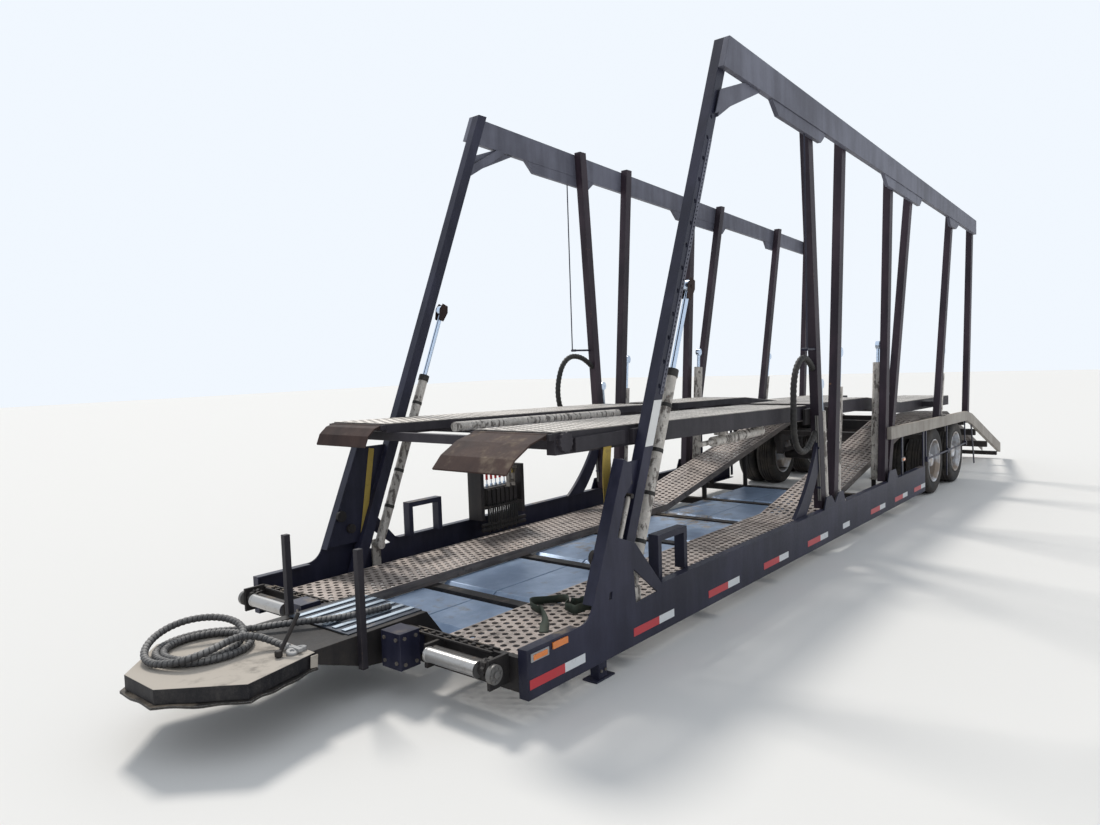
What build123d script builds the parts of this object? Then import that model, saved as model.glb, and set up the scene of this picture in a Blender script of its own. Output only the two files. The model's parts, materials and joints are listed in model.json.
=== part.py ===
from build123d import *
import math
import os

# Car transporter semi-trailer, stinger-steer type, without its tractor.
# Frame: +X forward to the nose, +Y to the left side, +Z up, millimetres.
# The origin is on the ground, half way along the length, on the centre line.
# A station is a distance behind the tip of the nose.

OVERALL_LENGTH = 13130
HALF_WIDTH = 1295
SEAT = 0.3

# Side sills
SILL_FRONT = 1360
SILL_REAR = 8640
SILL_TOP = 424
STUB_TOP = 380
SILL_BOTTOM = 120
SILL_DEPTH = 62
WEB = 10

# Boxed root of the raked front post
FIN_START = 1790
FIN_RISE = 1925
FIN_RISE_Z = 460
FIN_TOP = 2266
FIN_TOP_Z = 1246
FIN_END = 2640
FIN_FLANGE = 76

# Posts, all of one rectangular tube
POST_WIDE = 76
POST_DEEP = 100
POST_OUTER_Y = HALF_WIDTH - 45
POST_PROUD = 25
FRONT_POST_FOOT = 2199
FRONT_POST_LEAN = 0.417
FRONT_POST_TOP_Z = 4068

# Top rails
RAIL_REAR = 11382
RAIL_REAR_TOP_Z = 3654
RAIL_FRONT_TALL = 230
RAIL_REAR_TALL = 195
RAIL_GUSSET_DROP = 100

# Side beams over the wheels, and the tail behind them
BEAM_FRONT = 7330
BEAM_TOP = 1000
BEAM_TALL = 130
BEAM_BEND = 10800
BEAM_BEND_TOP = 937
BEAM_KNEE = 11110
BEAM_KNEE_TOP = 882
TAIL_END_TOP = 256
TAIL_TALL = 150

# Lower deck
RUNWAY_FRONT = 1400
RUNWAY_TOP = 268
RUNWAY_OUTER_Y = HALF_WIDTH - 155
RUNWAY_INNER_Y = RUNWAY_OUTER_Y - 610
REAR_RUNWAY_OUTER_Y = HALF_WIDTH - 259
RUNWAY_PLATE = 8
RUNWAY_EDGE = 70
SHEET_TOP = 166
SHEET_PLATE = 6
KICK_START = 5700
KICK_END = 9050
DECK_OVER_AXLES = 936
TAIL_DECK_END_Z = 190
CROSS_WIDE = 90
CROSS_FIRST = 2330
CROSS_PITCH = 1050
CROSS_COUNT = 6
REAR_BARS = (8700, 9745, 10780)
TAIL_BARS = {1630: 90, 830: 90, 90: 60}
REAR_BAR_WIDE = 65
UPRIGHT_SIDE = 40

# Wheels and axles
AXLE_STATIONS = {"front": 9240, "rear": 10330}
TYRE_R = 419
TYRE_WIDE = 240
TYRE_OUTER_FACE = HALF_WIDTH - 39
TWIN_PITCH = 275
RIM_R = 262
RIM_WALL = 14
HUB_R = 110
AXLE_TUBE_R = 64
BEARING_GAP = 0.5
DRUM_R = 200
FRAME_RAIL_Y = 560
FRAME_RAIL_WIDE = 80
FRAME_RAIL_TOP = 740
FRAME_RAIL_TALL = 100

# Wheel guards
GUARD_Y = HALF_WIDTH - 33
GUARD_THICK = 12
GUARD_ROD_R = 11
GUARD_ROD_Z = 490

# Neck and nose
NOSE_TOP = 369
NOSE_DEEP = 75
LIP_PLATE = 12
LIP_PROUD = 22
NOSE_LENGTH = 750
NECK_Y = 300
NECK_BEAM_WIDE = 70
NECK_TOP = 363
KINGPIN_STATION = 400
KINGPIN_R = 25.4
KINGPIN_COLLAR_R = 35.7
KINGPIN_LONG = 84
STAKE_STATION = 1059
STAKE_LOW = 177
STAKE_TOP = 844
STAKE_SIDE = 38

# Upper decks
FRONT_DECK_PIN = 5340
FRONT_DECK_REAR = FRONT_DECK_PIN + 60
FRONT_DECK_SURFACE = 1355
FRONT_DECK_SLOPE = 0.022
FRONT_DECK_HALF = POST_OUTER_Y - 115
REAR_DECK_PIN = 5900
REAR_DECK_FRONT = REAR_DECK_PIN - 120
REAR_DECK_REAR = 10900
REAR_DECK_HALF = POST_OUTER_Y - 220
FRONT_DECK_BARS = (2080, 2900, 3700, 4500, 5180)
REAR_DECK_BARS = (6150, 7000, 7900, 8800, 9900, 10750)
DECK_BEAM_TALL = 125
DECK_INNER_BEAM_TALL = 60
DECK_BEAM_WIDE = 60
DECK_PLATE = 6
DECK_RUNWAY_WIDE = 560
DECK_CROSS_SIDE = 60
DECK_PIN_DROP = 93
PIN_R = 22
PIN_FIT = 0.5
SLIDE_GAP = 0.5
CHUTE_PIN_R = 12
CHUTE_BARREL_R = 20

# Lift cylinders on the posts
BARREL_R = 38
ROD_R = 19
ROD_FIT = 0.5
HEAD_R = 45
CYLINDER_Y = POST_OUTER_Y - POST_WIDE / 2
CYLINDER_OFF = 22

# Hoses
NOSE_HOSE_R = 17
LOOP_HOSE_R = 26
LOOP_HOSE_Y = POST_OUTER_Y - POST_WIDE / 2
STAY_R = 6
STAY_ARM_R = 10
STAY_Z = {"left": 1860, "right": 1940}

# Holes punched in the lower runways and in the raked posts
PUNCH_R = 24
PUNCH_PITCH = 122
LOCK_HOLE_R = 15
LOCK_HOLE_DEEP = 8
LOCK_HOLE_PITCH = 152

# Ratchet hubs
RATCHET_TEETH = 12
RATCHET_R = 62
RATCHET_ROOT = 52


def x_at(station):
    """X of a station."""
    return OVERALL_LENGTH / 2 - station


def along(table, station):
    """Height on a side-view line that is given by its corners."""
    for (s0, z0), (s1, z1) in zip(table, table[1:]):
        if station <= s1:
            break
    return z0 + (z1 - z0) * (station - s0) / (s1 - s0)


def block(s0, s1, y0, y1, z0, z1):
    """Box between two stations, two widths and two heights."""
    centre = ((x_at(s0) + x_at(s1)) / 2, (y0 + y1) / 2, (z0 + z1) / 2)
    return Pos(*centre) * Box(abs(s1 - s0), abs(y1 - y0), abs(z1 - z0))


def side_point(point, y):
    """A point of a side view, given as station and height, at width y."""
    return Vector(x_at(point[0]), y, point[1])


def side_plate(points, y0, y1):
    """Straight-edged side view, given as stations and heights, from y0 to y1."""
    low = min(y0, y1)
    wire = Wire.make_polygon([side_point(p, low) for p in points], close=True)
    return Solid.extrude(Face(wire), Vector(0, abs(y1 - y0), 0))


def band(table, drop_top, drop_bottom, s0, s1, y0, y1):
    """Side view between two lines that lie below a table's line."""
    inner = [s for s, _z in table if s0 < s < s1]
    stations = [s0] + inner + [s1]
    upper = [(s, along(table, s) - drop_top) for s in stations]
    lower = [(s, along(table, s) - drop_bottom) for s in reversed(stations)]
    return side_plate(upper + lower, y0, y1)


def rod(start, end, radius):
    """Round bar between two points of X, Y and Z."""
    a = Vector(*start)
    b = Vector(*end)
    return Solid.make_cylinder(radius, (b - a).length, Plane(origin=a, z_dir=(b - a)))


def cross_tube(station, y0, y1, z, radius):
    """Round bar across the trailer."""
    return rod((x_at(station), y0, z), (x_at(station), y1, z), radius)


def mirrored(shape):
    """The same piece on the other side of the trailer."""
    return mirror(shape, about=Plane.XZ)


def both_sides(shapes):
    """The shapes of the left side and their mirror images."""
    return list(shapes) + [mirrored(s) for s in shapes]


def save(name, shapes):
    """Write the solids of one node."""
    solids = []
    for shape in shapes:
        solids += shape.solids()
    whole = solids[0] if len(solids) == 1 else Compound(children=solids)
    export_step(whole, f"parts/{name}.step")


def fused(shapes):
    """One solid from pieces that are welded together."""
    whole = shapes[0]
    for shape in shapes[1:]:
        whole = whole + shape
    return whole


def post_front(z):
    """Station of the raked post's front face at a height."""
    return FRONT_POST_FOOT + FRONT_POST_LEAN * (z - SILL_TOP)


RAIL_FRONT = post_front(FRONT_POST_TOP_Z)
RAIL_FRONT_LOW_Z = FRONT_POST_TOP_Z - RAIL_FRONT_TALL
RAIL_TOP_LINE = [(RAIL_FRONT, FRONT_POST_TOP_Z), (RAIL_REAR, RAIL_REAR_TOP_Z)]
RAIL_LOW_LINE = [
    (post_front(RAIL_FRONT_LOW_Z), RAIL_FRONT_LOW_Z),
    (RAIL_REAR, RAIL_REAR_TOP_Z - RAIL_REAR_TALL),
]
BEAM_LINE = [
    (BEAM_FRONT, BEAM_TOP),
    (BEAM_BEND, BEAM_BEND_TOP),
    (BEAM_KNEE, BEAM_KNEE_TOP),
    (OVERALL_LENGTH, TAIL_END_TOP),
]
RUNWAY_LINE = [
    (RUNWAY_FRONT, RUNWAY_TOP),
    (KICK_START, RUNWAY_TOP),
    (KICK_END, DECK_OVER_AXLES),
    (BEAM_BEND, DECK_OVER_AXLES),
    (OVERALL_LENGTH - 20, TAIL_DECK_END_Z),
]
FRONT_DECK_LINE = [
    (1500, FRONT_DECK_SURFACE + FRONT_DECK_SLOPE * (FRONT_DECK_PIN - 1500)),
    (FRONT_DECK_REAR + 100, FRONT_DECK_SURFACE - FRONT_DECK_SLOPE * 160),
]
REAR_DECK_LINE = [(REAR_DECK_FRONT, 1345), (7370, 1316), (8600, 1190), (REAR_DECK_REAR, 1150)]


def rail_bottom(station):
    """Height of the top rail's lower edge at a station."""
    return along(RAIL_LOW_LINE, station)


# Rear posts: station and height of the foot, and station at a second, upper height
POSTS = {
    "P1": (5496, SILL_TOP, 5280, 3713),
    "P2": (5785, SILL_TOP, 6107, 3782),
    "P3": (7279, SILL_TOP, 7565, 3684),
    "P4": (7400, SILL_TOP, 8303, 3575),
    "P5": (9486, BEAM_TOP - BEAM_TALL, 10195, 3566),
    "P6": (11068, BEAM_KNEE_TOP - BEAM_TALL, 11357, 3487),
}


def on_post(name, z, behind=0.0):
    """Station of a post's centre line at a height, moved rearwards by behind."""
    s0, z0, s1, z1 = POSTS[name]
    return s0 + (s1 - s0) * (z - z0) / (z1 - z0) + behind


def post_direction(name):
    """Unit vector up along a post."""
    return (Vector(x_at(on_post(name, 3000)), 0, 3000) - Vector(x_at(on_post(name, 1000)), 0, 1000)).normalized()


def left_sill():
    """Sill web that runs up into the boxed root of the raked post, with its flanges."""
    rise = (FIN_TOP - FIN_RISE) / (FIN_TOP_Z - FIN_RISE_Z)
    front_at = lambda z: FIN_RISE + rise * (z - FIN_RISE_Z)
    web_in = HALF_WIDTH - WEB
    foot = [
        (SILL_FRONT, SILL_BOTTOM),
        (SILL_FRONT, STUB_TOP),
        (FIN_START, STUB_TOP),
    ]
    upper = [
        (FIN_RISE, FIN_RISE_Z),
        (FIN_TOP, FIN_TOP_Z),
        (FIN_TOP + 73, FIN_TOP_Z - 37),
        (FIN_TOP + 73, FIN_TOP_Z - 150),
        (front_at(1020) + 88, 1020),
        (front_at(800) + 108, 800),
        (FIN_TOP + 95, 732),
        (FIN_END, SILL_TOP),
        (SILL_REAR, SILL_TOP),
        (SILL_REAR, SILL_BOTTOM),
        (SILL_FRONT, SILL_BOTTOM),
    ]
    edges = [Line(side_point(a, web_in), side_point(b, web_in)) for a, b in zip(foot, foot[1:])]
    bend = (FIN_START + 92, STUB_TOP + 26)
    edges.append(
        ThreePointArc(side_point(foot[-1], web_in), side_point(bend, web_in), side_point(upper[0], web_in))
    )
    edges += [Line(side_point(a, web_in), side_point(b, web_in)) for a, b in zip(upper, upper[1:])]
    plate = Solid.extrude(Face(Wire(edges)), Vector(0, WEB, 0))
    window = side_plate([(2334, 580), (2587, 382), (2351, 372)], web_in - 5, HALF_WIDTH + 5)
    slot = side_plate([(2075, 455), (2105, 455), (2115, 500), (2085, 500)], web_in - 5, HALF_WIDTH + 5)
    inner = HALF_WIDTH - SILL_DEPTH
    flange_in = HALF_WIDTH - FIN_FLANGE
    edge_front = [(FIN_RISE, FIN_RISE_Z), (FIN_TOP, FIN_TOP_Z)]
    edge_rear = [(s + WEB, z) for s, z in reversed(edge_front)]
    return fused(
        [
            plate - window - slot,
            block(SILL_FRONT, FIN_START, inner, web_in, STUB_TOP - WEB, STUB_TOP),
            block(FIN_END, SILL_REAR, inner, web_in, SILL_TOP - WEB, SILL_TOP),
            block(SILL_FRONT, SILL_REAR, inner, web_in, SILL_BOTTOM, SILL_BOTTOM + WEB),
            block(SILL_FRONT, SILL_FRONT + WEB, inner, web_in, SILL_BOTTOM + WEB, STUB_TOP - WEB),
            side_plate(edge_front + edge_rear, flange_in, web_in),
        ]
    )


def foot_plates():
    """Pointed plates in the web's plane at the feet of the rear posts, left side."""
    low = SILL_TOP + SEAT
    twin = [(5380, low), (5440, 534), (5560, 534), (5650, 450)]
    twin += [(5740, 534), (5860, 534), (5910, low)]
    single = [(7200, low), (7260, 534), (7480, 534), (7560, low)]
    return [side_plate(shape, HALF_WIDTH - WEB, HALF_WIDTH) for shape in (twin, single)]


def raked_post():
    """Front post, leaning back as it goes up, left side."""
    low = SILL_BOTTOM + WEB + SEAT
    top = FRONT_POST_TOP_Z
    outline = [
        (post_front(low), low),
        (post_front(top), top),
        (post_front(top) + POST_DEEP, top),
        (post_front(low) + POST_DEEP, low),
    ]
    post = side_plate(outline, POST_OUTER_Y - POST_WIDE, POST_OUTER_Y)
    deep = POST_OUTER_Y - LOCK_HOLE_DEEP
    holes = []
    for index in range(14):
        z = 1500 + index * LOCK_HOLE_PITCH
        holes.append(cross_tube(post_front(z) + 34, deep, POST_OUTER_Y + 1, z, LOCK_HOLE_R))
    return post - Compound(children=holes)


def rear_posts():
    """The six posts of the left side behind the raked one."""
    half = POST_DEEP / 2
    bars = []
    for name, (s0, z0, s1, z1) in POSTS.items():
        low = z0 + SEAT
        top = along(RAIL_TOP_LINE, s1) + POST_PROUD
        outline = [
            (on_post(name, low) - half, low),
            (on_post(name, top) - half, top),
            (on_post(name, top) + half, top),
            (on_post(name, low) + half, low),
        ]
        bars.append(side_plate(outline, POST_OUTER_Y - POST_WIDE, POST_OUTER_Y))
    return bars


def top_rail():
    """Tapered rail along the outer faces of the posts, left side."""
    return side_plate(RAIL_TOP_LINE + RAIL_LOW_LINE[::-1], POST_OUTER_Y, HALF_WIDTH)


# Plates under the rail: stations of the top front, bottom front, bottom rear and top rear corners
RAIL_GUSSETS = [(4429, 4545, 5429, 5552), (7183, 7308, 8500, 8610), (9858, 9940, 10233, 10428)]


def rail_gussets():
    """Plates that hang under the rail, and the knee brace behind the raked post, left side."""
    plates = []
    for s0, s1, s2, s3 in RAIL_GUSSETS:
        outline = [
            (s0, rail_bottom(s0) - SEAT),
            (s1, rail_bottom(s1) - RAIL_GUSSET_DROP),
            (s2, rail_bottom(s2) - RAIL_GUSSET_DROP),
            (s3, rail_bottom(s3) - SEAT),
        ]
        plates.append(side_plate(outline, POST_OUTER_Y + 2, HALF_WIDTH - 8))
    off = POST_DEEP + SEAT
    brace = [
        (post_front(3486) + off, 3486),
        (4134, rail_bottom(4134) - SEAT),
        (4010, rail_bottom(4010) - SEAT),
        (post_front(3600) + off, 3600),
    ]
    plates.append(side_plate(brace, POST_OUTER_Y - 20, POST_OUTER_Y + 14))
    return plates


def beam_bottom(station):
    """Height of the side beam's lower edge at a station."""
    tall = BEAM_TALL if station <= BEAM_BEND else TAIL_TALL
    return along(BEAM_LINE, station) - tall


def side_beam():
    """Beam over the wheels, with its sloping tail, left side."""
    top = list(BEAM_LINE)
    low = [(s, z - (BEAM_TALL if s <= BEAM_BEND else TAIL_TALL)) for s, z in reversed(BEAM_LINE)]
    return side_plate(top + low, POST_OUTER_Y, HALF_WIDTH)


def hung_strut(s0, s1, low, slant=0):
    """Upright flat bar whose top meets the side beam's lower edge."""
    outline = [
        (s0, beam_bottom(s0) - SEAT),
        (s1, beam_bottom(s1) - SEAT),
        (s1 + slant, low),
        (s0 + slant, low),
    ]
    return side_plate(outline, GUARD_Y, GUARD_Y + GUARD_THICK)


def wheel_struts():
    """Flat bars between the sill and the side beam, and the one behind the wheels, left side."""
    return [
        hung_strut(7780, 7830, SILL_TOP + SEAT),
        hung_strut(SILL_REAR + SEAT, SILL_REAR + 50, 150),
        hung_strut(BEAM_KNEE + 40, BEAM_KNEE + 85, 133, 190),
    ]


def wheel_guard():
    """Round rod outside the twin wheels, on three hangers with rubber blocks, left side."""
    y = GUARD_Y + GUARD_THICK + 6
    pieces = [rod((x_at(8770), y, GUARD_ROD_Z), (x_at(10795), y, GUARD_ROD_Z), GUARD_ROD_R)]
    for s0, low in ((8770, 460), (9770, 158), (10765, 460)):
        pieces.append(hung_strut(s0, s0 + 30, low))
        pieces.append(block(s0 - 10, s0 + 40, GUARD_Y, HALF_WIDTH - 2, 460, 520))
    return fused(pieces)


def runway():
    """Punched plate of the lower track on its two edge bars, left side."""
    y0, y1 = RUNWAY_INNER_Y, RUNWAY_OUTER_Y
    span = (RUNWAY_FRONT, KICK_START)
    low = RUNWAY_TOP - RUNWAY_PLATE
    rows = int((y1 - y0 - PUNCH_PITCH / 2) // PUNCH_PITCH)
    columns = int((KICK_START - RUNWAY_FRONT - PUNCH_PITCH / 2) // PUNCH_PITCH)
    middle = Pos(x_at((RUNWAY_FRONT + KICK_START) / 2), (y0 + y1) / 2, low)
    under = low - SEAT
    hexagon = RegularPolygon(PUNCH_R, 6)
    punches = [place * hexagon for place in GridLocations(PUNCH_PITCH, PUNCH_PITCH, columns, rows)]
    sheet = Rectangle(KICK_START - RUNWAY_FRONT, y1 - y0) - punches
    return [
        middle * extrude(sheet, amount=RUNWAY_PLATE),
        block(*span, y0, y0 + RUNWAY_PLATE, RUNWAY_TOP - RUNWAY_EDGE, under),
        block(*span, y1 - RUNWAY_PLATE, y1, RUNWAY_TOP - RUNWAY_EDGE, under),
    ]


def rear_runway():
    """Rising track, level track over the axles and sloping tail, left side."""
    y0, y1 = RUNWAY_INNER_Y, REAR_RUNWAY_OUTER_Y
    span = (KICK_START + SEAT, OVERALL_LENGTH - 20)
    return fused(
        [
            band(RUNWAY_LINE, 0, RUNWAY_PLATE, *span, y0, y1),
            band(RUNWAY_LINE, 0, RUNWAY_EDGE, *span, y0, y0 + RUNWAY_PLATE),
            band(RUNWAY_LINE, 0, RUNWAY_EDGE, *span, y1 - RUNWAY_PLATE, y1),
        ]
    )


def runway_under(station):
    """Height of the lower edge of a runway's turned-down side at a station."""
    return along(RUNWAY_LINE, station) - RUNWAY_EDGE


def cross_members():
    """Bars across the belly, with uprights to the rising tracks, and the front header."""
    reach = HALF_WIDTH - WEB - SEAT
    low = SILL_BOTTOM + WEB + SEAT
    top = RUNWAY_TOP - RUNWAY_EDGE - SEAT
    bars = []
    for index in range(CROSS_COUNT):
        s = CROSS_FIRST + index * CROSS_PITCH
        bars.append(block(s, s + CROSS_WIDE, -reach, reach, low, top))
        under = runway_under(s + 10) - SEAT
        if under > top + 20:
            for y in (RUNWAY_INNER_Y, REAR_RUNWAY_OUTER_Y - UPRIGHT_SIDE):
                upright = block(s + 10, s + 10 + UPRIGHT_SIDE, y, y + UPRIGHT_SIDE, top + SEAT, under)
                bars += both_sides([upright])
    neck_in = NECK_Y - NECK_BEAM_WIDE / 2 - SEAT
    neck_out = NECK_Y + NECK_BEAM_WIDE / 2 + SEAT
    inner = HALF_WIDTH - SILL_DEPTH - SEAT
    bars.append(block(SILL_FRONT + 2, RUNWAY_FRONT - SEAT, -neck_in, neck_in, 150, 330))
    bars += both_sides([block(SILL_FRONT + 2, RUNWAY_FRONT - SEAT, neck_out, inner, 150, 330)])
    return bars


def rear_cross_bars():
    """Bars between the side beams under the level and sloping tracks."""
    reach = POST_OUTER_Y - SEAT
    bars = []
    rows = [(s, 0) for s in REAR_BARS] + [(OVERALL_LENGTH - back, deep) for back, deep in TAIL_BARS.items()]
    for s0, deep in rows:
        s1 = s0 + REAR_BAR_WIDE
        top = min(runway_under(s0), runway_under(s1)) - SEAT
        low = top - deep if deep else FRAME_RAIL_TOP + SEAT
        bars.append(block(s0, s1, -reach, reach, low, top))
    return bars


def belly_sheets():
    """Sheets between the cross-members, inside the runways."""
    half = RUNWAY_INNER_Y - 6
    low = SHEET_TOP - SHEET_PLATE
    sheets = [block(1702, CROSS_FIRST - SEAT, -half, half, low, SHEET_TOP)]
    for index in range(CROSS_COUNT - 1):
        s0 = CROSS_FIRST + index * CROSS_PITCH + CROSS_WIDE + SEAT
        s1 = CROSS_FIRST + (index + 1) * CROSS_PITCH - SEAT
        sheets.append(block(s0, s1, -half, half, low, SHEET_TOP))
    return sheets


def revolved(profile, station, y_in):
    """Ring about a wheel's axis from points of radius and width."""
    face = Face(Wire.make_polygon([Vector(r, 0, w) for r, w in profile], close=True))
    ring = Solid.revolve(face, 360, Axis.Z)
    return Pos(x_at(station), y_in, TYRE_R) * (Rot(-90, 0, 0) * ring)


def tyre(station, y_in):
    """One tyre with rounded shoulders."""
    wide = TYRE_WIDE
    half = [(RIM_R, 18), (RIM_R + 40, 4), (TYRE_R - 45, 0), (TYRE_R - 8, 22), (TYRE_R, 50)]
    return revolved(half + [(r, wide - w) for r, w in reversed(half)], station, y_in)


def rim(station, y_in, disc):
    """One steel wheel whose disc lies at a width from its inner edge."""
    wall = RIM_R - RIM_WALL
    sweep = 30
    side = 10
    if disc > TYRE_WIDE / 2:
        flare = disc - sweep
    else:
        flare = disc + sweep
    profile = [
        (HUB_R, disc - RIM_WALL), (wall, flare - RIM_WALL), (wall, side), (RIM_R, side),
        (RIM_R, TYRE_WIDE - side), (wall, TYRE_WIDE - side), (wall, flare), (HUB_R, disc),
    ]
    return revolved(profile, station, y_in)


def wheel_nodes(place, side, mirror_it):
    """Tyres and rims of one twin wheel, with its hub and brake drum."""
    s = AXLE_STATIONS[place]
    outer = TYRE_OUTER_FACE - TYRE_WIDE
    inner = outer - TWIN_PITCH
    tyres = [tyre(s, outer), tyre(s, inner)]
    hub_in = inner - 40
    hub_out = TYRE_OUTER_FACE - 30
    bore = cross_tube(s, hub_in - 1, hub_in + 190, TYRE_R, AXLE_TUBE_R + BEARING_GAP)
    hub = fused(
        [
            cross_tube(s, hub_in, hub_out - 60, TYRE_R, HUB_R + 1),
            cross_tube(s, hub_out - 60, hub_out, TYRE_R, HUB_R - 30),
            cross_tube(s, hub_in, inner + 60, TYRE_R, DRUM_R),
        ]
    )
    rims = [fused([rim(s, outer, 60), hub - bore, rim(s, inner, TYRE_WIDE - 60)])]
    if mirror_it:
        tyres = [mirrored(t) for t in tyres]
        rims = [mirrored(r) for r in rims]
    save(f"tyres_{place}_{side}", tyres)
    save(f"rims_{place}_{side}", rims)


def axles():
    """Two axle tubes across the trailer."""
    hub_in = TYRE_OUTER_FACE - TYRE_WIDE - TWIN_PITCH - 40
    reach = hub_in + 180
    return [cross_tube(s, -reach, reach, TYRE_R, AXLE_TUBE_R) for s in AXLE_STATIONS.values()]


def frame_rails():
    """Rear frame rails that carry the axles, left side."""
    low = FRAME_RAIL_TOP - FRAME_RAIL_TALL
    return [block(REAR_BARS[0] - 10, REAR_BARS[-1] + 80, FRAME_RAIL_Y, FRAME_RAIL_Y + FRAME_RAIL_WIDE, low, FRAME_RAIL_TOP)]


def suspension():
    """Hanger, trailing arm and air spring of each axle, left side."""
    low = FRAME_RAIL_TOP - FRAME_RAIL_TALL - SEAT
    y0, y1 = FRAME_RAIL_Y, FRAME_RAIL_Y + FRAME_RAIL_WIDE
    middle = (y0 + y1) / 2
    seat = TYRE_R + AXLE_TUBE_R + SEAT
    parts = []
    for s in AXLE_STATIONS.values():
        hanger = side_plate([(s - 520, low), (s - 360, low), (s - 410, 470), (s - 470, 470)], y0, y1)
        arm = side_plate([(s - 440, 540), (s + 210, seat + 40), (s + 210, seat), (s - 440, seat)], y0 + 10, y1 - 10)
        spring = Pos(x_at(s + 140), middle, seat + 30) * Cylinder(
            70, low - seat - 30, align=(Align.CENTER, Align.CENTER, Align.MIN)
        )
        parts.append(fused([hanger, arm, spring]))
    return parts


def nose_outline(grow, z):
    """Outline of the nose seen from above, grown outwards."""
    half = [(-grow, 166 + grow * 0.4), (320, 492 + grow), (NOSE_LENGTH, 394 + grow)]
    ring = half + [(s, -w) for s, w in reversed(half)]
    return Face(Wire.make_polygon([Vector(x_at(s), w, z) for s, w in ring], close=True))


def nose():
    """Coupler head: deep box with a thin lip plate that stands out below it."""
    head = Solid.extrude(nose_outline(-LIP_PROUD, NOSE_TOP - NOSE_DEEP), Vector(0, 0, NOSE_DEEP))
    lip = Solid.extrude(nose_outline(0, NOSE_TOP - NOSE_DEEP - LIP_PLATE), Vector(0, 0, LIP_PLATE))
    return fused([head, lip])


def kingpin():
    """Standard two-inch pin with its collar, under the nose."""
    top = NOSE_TOP - NOSE_DEEP - LIP_PLATE
    at = Pos(x_at(KINGPIN_STATION), 0, top)
    down = (Align.CENTER, Align.CENTER, Align.MAX)
    neck = at * Cylinder(KINGPIN_R, KINGPIN_LONG, align=down)
    collar = at * (Pos(0, 0, 18 - KINGPIN_LONG) * Cylinder(KINGPIN_COLLAR_R, 18, align=down))
    shoulder = at * Cylinder(KINGPIN_COLLAR_R, 22, align=down)
    return fused([neck, collar, shoulder])


def neck():
    """Two beams from the nose back into the belly frame, joined by bars."""
    deep = SHEET_TOP - SHEET_PLATE - SEAT
    start = NOSE_LENGTH + SEAT
    outline = [
        (start, NECK_TOP), (1546, NECK_TOP), (1700, deep), (CROSS_FIRST - SEAT, deep),
        (CROSS_FIRST - SEAT, 125), (1500, 125), (1100, 173), (start, NOSE_TOP - NOSE_DEEP),
    ]
    half = NECK_BEAM_WIDE / 2
    pieces = [side_plate(outline, y - half, y + half) for y in (-NECK_Y, NECK_Y)]
    inner = NECK_Y - half
    pieces.append(block(NOSE_LENGTH + 40, NOSE_LENGTH + 100, -inner, inner, NECK_TOP - 64, NECK_TOP - 4))
    pieces.append(block(1180, 1240, -inner, inner, NECK_TOP - 144, NECK_TOP - 4))
    pieces.append(block(start, 1008, -inner, inner, NECK_TOP - 12, NECK_TOP - 4))
    return fused(pieces)


def ribbed_plate():
    """Ribbed steel plate on the neck."""
    low = NECK_TOP + SEAT
    base = block(1015, 1546, -290, 290, low, low + 6)
    ribs = [block(1030, 1530, y - 18, y + 18, low + 6, low + 14) for y in range(-225, 226, 90)]
    return fused([base] + ribs)


def stakes():
    """Two upright stakes beside the neck."""
    half = STAKE_SIDE / 2
    y0 = NECK_Y + NECK_BEAM_WIDE / 2 + SEAT
    stake = block(STAKE_STATION - half, STAKE_STATION + half, y0, y0 + STAKE_SIDE, STAKE_LOW, STAKE_TOP)
    return both_sides([stake])


def ratchet(station, y0, y1, z):
    """Toothed hub of a strap winch, its axis across the trailer."""
    points = []
    for index in range(RATCHET_TEETH):
        start = 2 * math.pi * index / RATCHET_TEETH
        for turn, radius in ((0, RATCHET_ROOT), (0.45, RATCHET_R)):
            angle = start + turn * 2 * math.pi / RATCHET_TEETH
            points.append((station + radius * math.cos(angle), z + radius * math.sin(angle)))
    return side_plate(points, y0, y1)


def front_rollers():
    """Roller and ratchet hub between two ears on the front header, left side."""
    s = SILL_FRONT - 85
    face = SILL_FRONT + 2 - SEAT
    return [
        fused(
            [
                cross_tube(s, 690, 1075, 276, 38),
                cross_tube(s, 1075, 1150, 276, 48),
                ratchet(s, 1100, 1124, 276),
                block(s - 50, face, 670, 690, 200, 330),
                block(s - 60, face, 1150, 1168, 190, 345),
            ]
        )
    ]


def bracket_boxes():
    """Square boxes beside the neck, left side."""
    face = SILL_FRONT + 2 - SEAT
    return [fused([block(1160, 1300, 390, 550, 170, 374), block(1300, face, 420, 520, 210, 330)])]


def landing_foot():
    """Short foot under the sill that the parked trailer stands on, left side."""
    y0, y1 = HALF_WIDTH - 120, HALF_WIDTH - 20
    leg = block(2010, 2090, y0 + 20, y1 - 20, 10, SILL_BOTTOM - SEAT)
    return fused([leg, block(1960, 2140, y0, y1, 0, 10)])


def post_brace():
    """Curved plate from the sill up to the front of P1, left side."""
    y0 = POST_OUTER_Y - 44
    face = -POST_DEEP / 2 - SEAT
    low = SILL_TOP + SEAT
    top = 1050
    points = [(4861, low), (on_post("P1", top, face), top), (on_post("P1", 800, face), 800), (5120, low)]
    bow = [(5170, 700), (5250, 560)]
    a, b, c, d = [side_point(p, y0) for p in points]
    edges = [
        ThreePointArc(a, side_point(bow[0], y0), b),
        Line(b, c),
        ThreePointArc(c, side_point(bow[1], y0), d),
        Line(d, a),
    ]
    return Solid.extrude(Face(Wire(edges)), Vector(0, 30, 0))


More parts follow.
